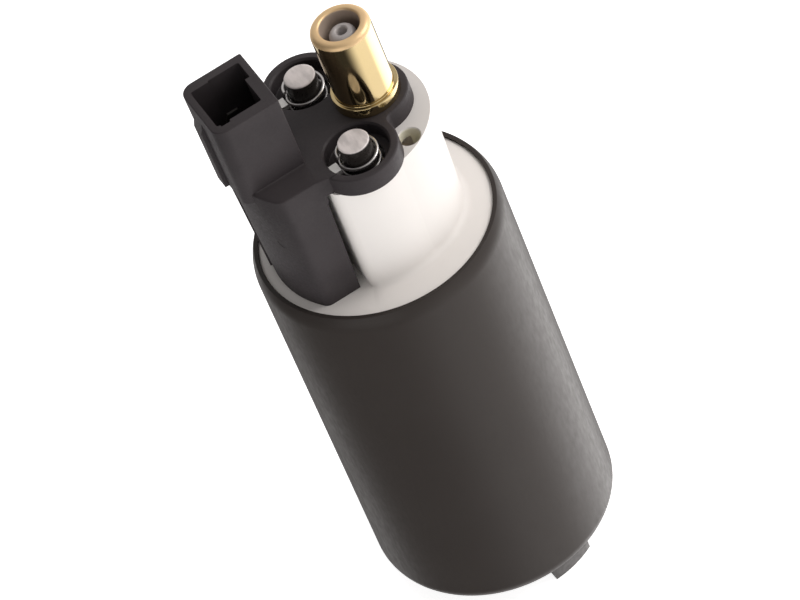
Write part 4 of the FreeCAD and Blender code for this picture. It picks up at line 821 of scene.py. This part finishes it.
class FUELPUMP_OT_housing(Builder, bpy.types.Operator):
    """Model the black housing: lobed plate, column, tower, socket and wells"""
    bl_idname = "fuelpump.housing"
    bl_label = "Connector housing"

    def plate_outline(self, sizes, outlet, choke):
        """The plate's plan: a lobe round the outlet, one round each choke, and the web."""
        first, second = sizes.outlet_lobe, sizes.choke_lobe
        blend = meeting((outlet, 0), first + sizes.hollow, choke, second + sizes.hollow)
        other = meeting(choke, second + sizes.hollow, (outlet, 0), first + sizes.hollow)
        blend = max(blend, other, key=lambda p: p.x + p.y)
        half = arc((outlet, 0), first, 0.0, heading((outlet, 0), blend))
        half += arc(blend, sizes.hollow, heading(blend, (outlet, 0)) % 360.0,
                    heading(blend, choke) % 360.0, COARSE)
        half += arc(choke, second, heading(choke, blend),
                    180.0 - math.degrees(math.asin((sizes.web_half - choke[1]) / second)))
        half += [(-sizes.web_shoulder, sizes.web_half),
                 (-sizes.column_inside - sizes.column_draft, sizes.column_half)]
        return mirrored(half)

    def column_outline(self, inside, half, radius):
        """The column's plan: a flat inner face, two flat sides and an outer arc."""
        corner = bpy.context.scene.pump_housing_sizes.column_corner
        middle = (-math.sqrt((radius - corner) ** 2 - (half - corner) ** 2), half - corner)
        turn = heading((0, 0), middle)
        upper = [(-inside, half)] + arc(middle, corner, 90.0, turn, COARSE)
        upper += arc((0, 0), radius, turn, 180.0, FINE)[1:]
        return upper + [(x, -y) for x, y in reversed(upper[:-1])]

    def column(self, sizes, foot, plate_top):
        """The column's upper block, and its shaft with the draft and the ejector mark."""
        head_foot, draft = plate_top - sizes.column_head, sizes.column_draft
        inside, outer, half = sizes.column_inside, sizes.column_radius, sizes.column_half
        head = raised("column_head", self.column_outline(inside, half, outer), head_foot,
                      plate_top)
        ease_top(head, plate_top, sizes.edge)
        foot_span = (outer - inside) / 2 - draft
        growth = ((foot_span + draft * 0.8) / foot_span,
                  (half - sizes.column_step) / (half - draft))
        shaft = raised("column_shaft",
                       self.column_outline(inside + draft, half - draft, outer - draft),
                       foot, head_foot + OVER / 2, growth, (-(inside + outer) / 2, 0.0))
        combine(shaft, [self.ejector_mark(sizes, foot)], "DIFFERENCE")
        return [head, shaft]

    def tower(self, sizes, plate_top, top):
        """The socket's tower, a little wider at its top, with the latch rib."""
        outside, inside, half = sizes.tower_outside, sizes.column_inside, sizes.tower_half
        buried, corner = 1.7 * MM, 0.3 * MM
        foot, root = plate_top - buried, half - sizes.tower_draft
        outline = rounded([
            (-inside, -half, corner), (-inside, half, corner),
            (-outside, half, sizes.tower_corner), (-outside, -half, sizes.tower_corner)],
            step=9.0)
        tower = stacked("tower", outline, [(foot, 1.0, root / half), (top, 1.0, 1.0)])
        ease_top(tower, top, sizes.edge * 0.8)
        fillet, start, end = sizes.tower_fillet, -outside + sizes.tower_corner, -inside - corner
        strip = stacked("fillet_strip", [(start, -root), (end, -root), (end, root), (start, root)],
                        [(foot, 1.0, 1.0 + fillet / root)] + footed(plate_top, fillet, 0.0, root))
        combine(tower, [self.latch(sizes, top), strip], "UNION")
        return combine(tower, [self.socket(sizes, top)], "DIFFERENCE")

    def latch(self, sizes, top):
        """The latch rib on the tower's outer face, with a lead-in at its top."""
        proud, root, edge = sizes.latch_proud, -sizes.tower_outside + OVER, 0.15 * MM
        low = sizes.latch_shift - sizes.latch_width / 2
        high = sizes.latch_shift + sizes.latch_width / 2
        rib_top, face = top - sizes.latch_drop, -sizes.tower_outside - proud
        outline = rounded([(face, low, edge), (root, low, 0.0),
                           (root, high, 0.0), (face, high, edge)])
        flush = OVER / (OVER + proud)
        return stacked("latch", outline, [(rib_top - sizes.latch_length, 1.0, 1.0),
                                          (rib_top - 3.0 * proud, 1.0, 1.0),
                                          (rib_top, flush, 1.0)], (root, 0.0))

    def spine(self, sizes, low, high):
        """The rib down the column's outer face, which ends above the flange."""
        foot_face = sizes.column_radius - sizes.column_draft + sizes.spine_proud
        head_face = sizes.column_radius + sizes.spine_proud * 0.5
        start, end = (180.0 - math.degrees(math.asin(side / foot_face))
                      for side in (sizes.spine_start + sizes.spine_width, sizes.spine_start))
        root = foot_face - 2 * OVER
        outline = arc((0, 0), foot_face, start, end, FINE) + arc((0, 0), root, end, start)
        growth = head_face / foot_face
        return stacked("spine", outline, [(low, 1.0, 1.0), (high, growth, growth)])

    def ejector_mark(self, sizes, low):
        """A cutter for the faint round mark on the column's outer face."""
        out = Vector((math.cos(sizes.mark_turn), math.sin(sizes.mark_turn), 0.0))
        across, up = Vector((-out.y, out.x, 0.0)), Vector((0, 0, 1))
        face = sizes.column_radius - 0.5 * sizes.column_draft
        middle = out * (face - sizes.mark_depth) + up * (low + sizes.mark_height)
        step = 15.0
        mark = drawn("mark", [middle + across * x + up * y for x, y in
                              arc((0, 0), sizes.mark, 0.0, 360.0 - step, step)])
        bpy.ops.mesh.edge_face_add()
        pull(out * OVER)
        tidy_mesh(mark)
        return mark

    def holes(self, sizes, at):
        """Cutters for the wells and for the tube's hole."""
        tube = bpy.context.scene.pump_outlet_sizes
        hole, low, high = tube.tube + tube.fit, at.dome - OVER, at.plate + OVER
        tube_hole = turned("tube_hole", [(0.0, low), (hole, low), (hole, high), (0.0, high)],
                           at.outlet, 0.0, 64)
        floor, flare = at.plate - sizes.well_depth, 0.3 * MM
        step_edge, floor_edge = 0.15 * MM, 0.2 * MM
        well = turned("well", rounded([
            (0.0, low, 0.0),
            (sizes.well_hole, low, 0.0),
            (sizes.well_hole, floor, step_edge),
            (sizes.well, floor, floor_edge),
            (sizes.well, at.plate - flare, flare),
            (sizes.well + flare + OVER, high, 0.0),
            (0.0, high, 0.0),
        ]), steps=72)
        return [tube_hole] + at_both_chokes(well, "well_")

    def socket(self, sizes, top):
        """The cutter for the keyed cavity."""
        half, corner = sizes.socket_half, 0.3 * MM
        outer, inner, notch = -16.0 * MM, -8.75 * MM, -7.95 * MM
        notch_start, notch_edge = 0.9 * MM, 0.15 * MM
        slot_start, slot_end, slot_depth = -15.5 * MM, -14.0 * MM, 0.4 * MM
        step_start, step_depth = -13.0 * MM, 0.25 * MM
        cavity = rounded([
            (outer, -half, corner),
            (slot_start, -half, 0.0),
            (slot_start, -half - slot_depth, BROKEN),
            (slot_end, -half - slot_depth, BROKEN),
            (slot_end, -half, 0.0),
            (inner, -half, corner),
            (inner, notch_start, 0.0),
            (notch, notch_start, notch_edge),
            (notch, half + step_depth, corner),
            (step_start, half + step_depth, 0.0),
            (step_start, half, 0.0),
            (outer, half, corner)])
        return raised("socket", cavity, top - sizes.socket_depth, top + OVER)

    def execute(self, context):
        sizes, at = context.scene.pump_housing_sizes, Levels()
        low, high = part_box("connector_housing")
        outline = self.plate_outline(sizes, at.outlet, place_of("choke_core_positive"))
        piece = raised("housing_moulding", outline, at.dome + GAP, at.plate)
        ease_top(piece, at.plate, sizes.edge)
        combine(piece, self.holes(sizes, at), "DIFFERENCE")
        parts = self.column(sizes, low.z, at.plate)
        parts.append(self.spine(sizes, low.z + OVER, at.plate - OVER))
        parts.append(self.tower(sizes, at.plate, high.z))
        combine(piece, parts, "UNION")
        smooth(piece, 32.0)
        fitted(piece, "pump_body", "housing_plastic", black_moulding(sizes.plastic),
               "connector_housing")
        return {"FINISHED"}


class FUELPUMP_OT_outlet(Builder, bpy.types.Operator):
    """Turn the brass tube and the valve cage in it"""
    bl_idname = "fuelpump.outlet"
    bl_label = "Outlet tube"

    def cage(self, sizes, outlet):
        """The valve cage: a nose with a hollow for the stem, and its ribs."""
        low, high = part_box("check_valve_cage")
        neck, flare, mouth_edge = high.z - sizes.nose_length, 0.3 * MM, 0.35 * MM
        hub = turned("valve_cage", rounded([
            (sizes.hub_bore, low.z, 0.0),
            (sizes.hub, low.z, BROKEN),
            (sizes.hub, neck, flare),
            (sizes.nose, neck + 0.5 * MM, flare),
            (sizes.nose, high.z, sizes.nose / 2),
            (sizes.hub_bore, high.z, mouth_edge),
        ]), outlet, 0.0, 64)
        rib = box("rib", (outlet + sizes.rib_inside, outlet + sizes.rib_outside),
                  (-sizes.rib / 2, sizes.rib / 2), (low.z, neck))
        others = [copied(rib, "rib_copy", turn=2 * math.pi * i / sizes.ribs,
                         centre=(outlet, 0, 0)) for i in range(1, sizes.ribs)]
        combine(hub, [rib] + others, "UNION")
        smooth(hub)
        fitted(hub, "pump_body", "valve_plastic", grey_acetal(sizes.cage), "check_valve_cage")

    def execute(self, context):
        sizes, at = context.scene.pump_outlet_sizes, Levels()
        low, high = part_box("outlet_tube")
        collar_foot, collar_top = at.plate + GAP, at.plate + sizes.collar_height
        foot_edge, collar_edge, root_fillet = 0.2 * MM, 0.16 * MM, 0.12 * MM
        profile = rounded([
            (sizes.seat, low.z, BROKEN),
            (sizes.tube, low.z, foot_edge),
            (sizes.tube, collar_foot, 0.0),
            (sizes.collar, collar_foot, BROKEN),
            (sizes.collar, collar_top, collar_edge),
            (sizes.tube, collar_top, root_fillet),
            (sizes.tube, high.z, sizes.rim),
            (sizes.bore, high.z, sizes.rim_inside),
            (sizes.bore, low.z + sizes.floor, BROKEN),
            (sizes.seat, low.z + sizes.floor, BROKEN),
        ], step=8.0)
        tube = turned("outlet_nipple", profile, at.outlet, 0.0, 128)
        smooth(tube)
        brass = turned_brass(sizes.brass, sizes.matte, sizes.dull, at.outlet, sizes.bore, high.z)
        fitted(tube, "pump_body", "tube_brass", brass, "outlet_tube")
        self.cage(sizes, at.outlet)
        return {"FINISHED"}


class FUELPUMP_OT_chokes(Builder, bpy.types.Operator):
    """Model the two ferrite cores and wind their coils"""
    bl_idname = "fuelpump.chokes"
    bl_label = "Suppression chokes"

    def core(self, sizes, low, high):
        """A ferrite rod with rounded ends, on the pump's axis."""
        rod = turned("ferrite_rod", rounded([
            (0.0, low, 0.0),
            (sizes.core, low, sizes.edge),
            (sizes.core, high, sizes.edge),
            (0.0, high, 0.0),
        ], step=15.0), steps=72)
        smooth(rod)
        return rod

    def coil(self, sizes, pole, side, material):
        """Bare wire wound on with the Screw modifier from a ring of wire."""
        x, y = place_of("choke_core_" + pole)
        low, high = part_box("choke_coil_" + pole)
        half, clear, step = sizes.wire / 2, 0.05 * MM, 30.0
        turns = sizes.turns - side * 0.25
        rise = high.z - low.z - sizes.wire - 2 * clear
        start = math.radians(-90.0 * side)
        ring = arc((sizes.coil, half + clear), half, 0.0, 360.0 - step, step)
        loop = [(radius * math.cos(start), radius * math.sin(start), low.z + height)
                for radius, height in ring]
        wire = drawn("coil_" + pole, loop + [loop[0]])
        tidy_mesh(wire)
        pick(wire)
        screw = wire.modifiers.new("Turns", "SCREW")
        screw.angle = 2 * math.pi * turns
        screw.screw_offset = rise
        screw.steps = screw.render_steps = round(48 * turns)
        screw.use_merge_vertices = False
        screw.use_normal_calculate = True
        bpy.ops.object.modifier_apply(modifier=screw.name)
        edit(wire)
        bpy.ops.mesh.select_all(action="DESELECT")
        bpy.ops.mesh.select_non_manifold()
        bpy.ops.mesh.edge_face_add()
        select_all()
        bpy.ops.transform.translate(value=(x, y, 0))
        tidy_mesh(wire)
        smooth(wire, 50.0)
        fitted(wire, "pump_body", "choke_wire", material, "choke_coil_" + pole)

    def execute(self, context):
        sizes = context.scene.pump_choke_sizes
        low, high = (corner.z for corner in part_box("choke_core_positive"))
        ferrite, tinned = ground_ferrite(sizes.ferrite, sizes.side, high), tinned_wire(sizes.tin)
        rod = self.core(sizes, low, high)
        for pole, side in POLES:
            fitted(copied_to_choke(rod, "ferrite_", pole), "pump_body", "choke_ferrite", ferrite,
                   "choke_core_" + pole)
            self.coil(sizes, pole, side, tinned)
        bpy.data.objects.remove(rod, do_unlink=True)
        return {"FINISHED"}


class FUELPUMP_OT_terminals(Builder, bpy.types.Operator):
    """Model the blades in the socket and their tabs in the wells"""
    bl_idname = "fuelpump.terminals"
    bl_label = "Terminals"

    def execute(self, context):
        sizes = context.scene.pump_terminal_sizes
        # The blades get painted shade; the tabs keep the bright tin.
        tin = tinned_sheet(sizes.tin, sizes.dull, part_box("terminal_positive")[0].z)
        for pole, side in POLES:
            low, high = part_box("terminal_" + pole)
            middle = side * sizes.apart
            blade = box("terminal_strip_" + pole, (low.x, low.x + sizes.blade),
                        (middle - sizes.sheet / 2, middle + sizes.sheet / 2),
                        (low.z, high.z - sizes.taper))
            select_where(blade, "FACE", lambda centre, normal: normal.z > 0.9)
            pull((0, 0, sizes.taper))
            bpy.ops.transform.resize(value=(0.6, 0.45, 1.0), center_override=(
                low.x + sizes.blade / 2, middle, high.z))
            deselect()
            edge = low.y if side < 0 else high.y
            inner = edge - side * 2 * sizes.tab
            bars = [box(name, along, across, (low.z, low.z + sizes.sheet))
                    for name, along, across in (
                        ("bar", (low.x, -sizes.bend_end),
                         (middle - sizes.bar, middle + sizes.bar)),
                        ("elbow", (-sizes.bend_start, -sizes.bend_end), sorted((middle, edge))),
                        ("tab", (-sizes.tab_start, high.x + sizes.tab_reach),
                         sorted((inner, edge))))]
            combine(blade, bars, "UNION")
            smooth(blade, 30.0)
            fitted(blade, "pump_body", "terminal_metal", tin, "terminal_" + pole)
        return {"FINISHED"}


class FUELPUMP_OT_inlet_cover(Builder, bpy.types.Operator):
    """Smooth the inlet cover and round its edges"""
    bl_idname = "fuelpump.inlet_cover"
    bl_label = "Inlet cover"

    def execute(self, context):
        sizes = context.scene.pump_cover_sizes
        piece = copied(frame["nodes"]["inlet_cover"], "inlet_casting")
        worn_in(piece, sizes.edge)
        fitted(piece, "pump_body", "cover_casting", die_cast_alloy(sizes.alloy), "inlet_cover")
        return {"FINISHED"}


class FUELPUMP_OT_inner_finishes(Builder, bpy.types.Operator):
    """Give every carried-over piece its finish"""
    bl_idname = "fuelpump.inner_finishes"
    bl_label = "Inner finishes"

    def finishes(self):
        """One finish for each material slot of the record."""
        return {
            "cover_casting": finish("machined_alloy", (0.55, 0.55, 0.54), 0.35, metallic=1.0,
                                    grain=900.0, mottle=90.0, contrast=0.08),
            "valve_steel": finish("ground_steel", (0.60, 0.60, 0.58), 0.18, metallic=1.0,
                                  stretch=(0.2, 0.2, 5.0), relief=0.06),
            "spring_steel": finish("spring_wire", (0.50, 0.50, 0.48), 0.28, metallic=1.0),
            "bush_bronze": finish("sintered_bronze", (0.44, 0.29, 0.14), 0.50, metallic=0.9,
                                  grain=4000.0, relief=0.5),
            "plated_steel": finish("zinc_plate", (0.58, 0.58, 0.56), 0.38, metallic=1.0),
            "magnet_ferrite": finish("magnet_ferrite", (0.055, 0.055, 0.06), 0.55,
                                     metallic=0.2, grain=2500.0, relief=0.3),
            "lamination_steel": finish("stacked_laminations", (0.30, 0.30, 0.31), 0.42,
                                       metallic=1.0, grain=500.0, relief=0.6, depth=0.05,
                                       stretch=(0.1, 0.1, 12.0)),
            "winding_copper": finish("enamelled_copper", (0.46, 0.15, 0.05), 0.30, metallic=0.8,
                                     grain=1500.0, relief=0.7, depth=0.1,
                                     stretch=(1.0, 1.0, 3.0), coat=0.5),
            "commutator_copper": finish("turned_copper", (0.62, 0.28, 0.14), 0.30, metallic=1.0,
                                        relief=0.1),
            "brush_carbon": finish("pressed_carbon", (0.03, 0.03, 0.032), 0.60, metallic=0.1,
                                   grain=3000.0, relief=0.3),
            "impeller_plastic": finish("phenolic", (0.12, 0.07, 0.035), 0.45, grain=1800.0,
                                       contrast=0.2),
            "seal_rubber": finish("seal_rubber", (0.012, 0.012, 0.012), 0.60, relief=0.1),
            "tube_brass": finish("pressed_brass", (0.70, 0.46, 0.18), 0.25, metallic=1.0),
            "valve_plastic": finish("valve_acetal", (0.62, 0.61, 0.59), 0.32),
        }

    def execute(self, context):
        made, slots = self.finishes(), record_slots()
        for name, node in frame["nodes"].items():
            if node.hide_render:
                continue
            node.data.materials.clear()
            node.data.materials.append(made[slots[name]])
        return {"FINISHED"}


class FUELPUMP_OT_followers(Builder, bpy.types.Operator):
    """Copy the springs and the brush leads as pieces with meshes of their own"""
    bl_idname = "fuelpump.followers"
    bl_label = "Springs and leads"

    def execute(self, context):
        slots = record_slots()
        for joint in frame["record"]["behaviour"]["joints"]:
            for row in joint.get("deforming_nodes", ()):
                name = row["node"]
                packed = frame["nodes"][name]
                piece = fitted(copied(packed, name + "_follower"), "pump_body", slots[name],
                               packed.data.materials[0], name)
                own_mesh(piece)
        return {"FINISHED"}


class FUELPUMP_OT_stage(Builder, bpy.types.Operator):
    """Set the pale floor, the soft lights and the camera"""
    bl_idname = "fuelpump.stage"
    bl_label = "Stage"

    # name, place, side in metres, watts, tint
    lights = (
        ("key", (0.72, -0.15, 0.58), 0.5, 4.3, (1.0, 0.96, 0.94)),
        ("fill", (-0.68, -0.70, 0.14), 0.9, 3.8, (1.0, 0.97, 0.96)),
    )
    # direction, cosines between which the light changes, strength outside and inside them
    lobes = (
        ((-0.966, -0.259, 0.0), 0.0, 0.60, 1.5, 0.05),  # dark at the front left
        ((0.675, 0.095, -0.731), 0.84, 0.98, 1.0, 2.3),  # brightest at the right
        ((0.136, 0.668, -0.731), 0.84, 0.97, 1.0, 0.15),  # dark low behind the pump
        ((0.0, 0.0, 1.0), -0.2, 0.2, 1.0, 0.45),  # dim overhead
    )

    def floor(self):
        """A wide pale floor under the feet, left out of reflections."""
        bpy.ops.mesh.primitive_plane_add(size=6.0, location=(0, 0, -GAP))
        floor = bpy.context.object
        floor.name = "studio_floor"
        material = bpy.data.materials.new("lit_white_acrylic")
        material.use_nodes = True
        for socket, value in (("Roughness", 0.9), ("Base Color", (0.9, 0.9, 0.9, 1.0)),
                              ("Emission Color", (1.0, 1.0, 1.0, 1.0)),
                              ("Emission Strength", 0.8)):
            material.node_tree.nodes["Principled BSDF"].inputs[socket].default_value = value
        floor.visible_glossy = False
        floor.data.materials.append(material)

    def light(self, name, place, side, power, tint):
        """A soft square light that looks at the pump and isn't seen."""
        bpy.ops.object.light_add(type="AREA", location=place)
        light = bpy.context.object
        light.name = name
        light.data.shape = "RECTANGLE"
        light.data.size = light.data.size_y = side
        light.data.energy = power
        light.data.color = tint
        light.visible_camera = False
        aim = Vector((0, 0, 60.0 * MM))
        light.rotation_euler = (aim - Vector(place)).to_track_quat("-Z", "Y").to_euler()

    def surroundings(self, scene):
        """A bright studio, with a darker or brighter place in some directions."""
        scene.world = scene.world or bpy.data.worlds.new("World")
        scene.world.use_nodes = True
        tree = scene.world.node_tree
        place, strength = node(tree, "TexCoord", {})["Generated"], 1.0
        for towards, start, end, outside, inside in self.lobes:
            along = node(tree, "VectorMath", {0: place, 1: towards}, operation="DOT_PRODUCT")
            lobe = span(tree, along["Value"], start, end, outside, inside, "SMOOTHSTEP")
            strength = both(tree, strength, lobe)
        plug(tree, tree.nodes["Background"].inputs["Strength"], strength)
        plug(tree, tree.nodes["Background"].inputs["Color"], (1.0, 0.98, 0.97, 1.0))

    def camera(self):
        """The camera at the photograph's angle: turned about the object, raised and rolled."""
        turn, rise, roll = math.radians(-11.5), math.radians(47.0), math.radians(-23.39)
        distance, shift_right, shift_up = 0.789, -1.5e-3, 13.1e-3
        focal_pixels, frame_pixels, sensor = 5302.0, 800.0, 36.0
        middle = Vector((0, 0, 39.0 * MM))
        place = middle + distance * Vector((0, -math.cos(rise), math.sin(rise)))
        right, ahead = Vector((1, 0, 0)), Vector((0, math.cos(rise), -math.sin(rise)))
        up = right.cross(ahead)
        ahead = (ahead + shift_right * right + shift_up * up).normalized()
        right = ahead.cross(up).normalized()
        up = right.cross(ahead)
        rolled = math.cos(roll) * right + math.sin(roll) * up
        above = -math.sin(roll) * right + math.cos(roll) * up
        spin = Matrix.Rotation(turn, 3, "Z")
        axes = Matrix((spin @ rolled, spin @ above, spin @ -ahead)).transposed()
        bpy.ops.object.camera_add(location=(0, 0, 0))
        camera = bpy.context.object
        camera.matrix_world = Matrix.Translation(spin @ place) @ axes.to_4x4()
        camera.data.sensor_width = sensor
        camera.data.lens = sensor * focal_pixels / frame_pixels
        camera.data.clip_start = 0.01
        bpy.context.scene.camera = camera

    def execute(self, context):
        deselect()
        self.floor()
        for row in self.lights:
            self.light(*row)
        self.surroundings(context.scene)
        context.scene.view_settings.view_transform = "Standard"
        self.camera()
        return {"FINISHED"}


STEPS = (
    FUELPUMP_OT_case,
    FUELPUMP_OT_end_cap,
    FUELPUMP_OT_housing,
    FUELPUMP_OT_outlet,
    FUELPUMP_OT_chokes,
    FUELPUMP_OT_terminals,
    FUELPUMP_OT_inlet_cover,
    FUELPUMP_OT_inner_finishes,
    FUELPUMP_OT_followers,
    FUELPUMP_OT_stage,
)


class FUELPUMP_PT_panel(bpy.types.Panel):
    """Lists the steps that build the pump and their sizes"""
    bl_idname = "FUELPUMP_PT_panel"
    bl_label = "Fuel Pump"
    bl_space_type = "VIEW_3D"
    bl_region_type = "UI"
    bl_category = "Fuel Pump"

    def draw(self, context):
        for step in STEPS:
            self.layout.operator(step.bl_idname)
        for group, kind in GROUPS.items():
            column = self.layout.column(heading=group)
            for name in kind.__annotations__:
                column.prop(getattr(context.scene, group), name)


def register():
    """Registers the classes and hangs the sizes on the scene."""
    for kind in (*GROUPS.values(), *STEPS, FUELPUMP_PT_panel):
        bpy.utils.register_class(kind)
    for name, kind in GROUPS.items():
        setattr(bpy.types.Scene, name, PointerProperty(type=kind))


def unregister():
    """Takes away what register made."""
    for name in GROUPS:
        delattr(bpy.types.Scene, name)
    for kind in reversed((*GROUPS.values(), *STEPS, FUELPUMP_PT_panel)):
        bpy.utils.unregister_class(kind)


def main():
    """Builds the pieces in order."""
    register()
    for step in STEPS:
        group, name = step.bl_idname.split(".")
        getattr(getattr(bpy.ops, group), name)()


if __name__ == "__main__":
    main()
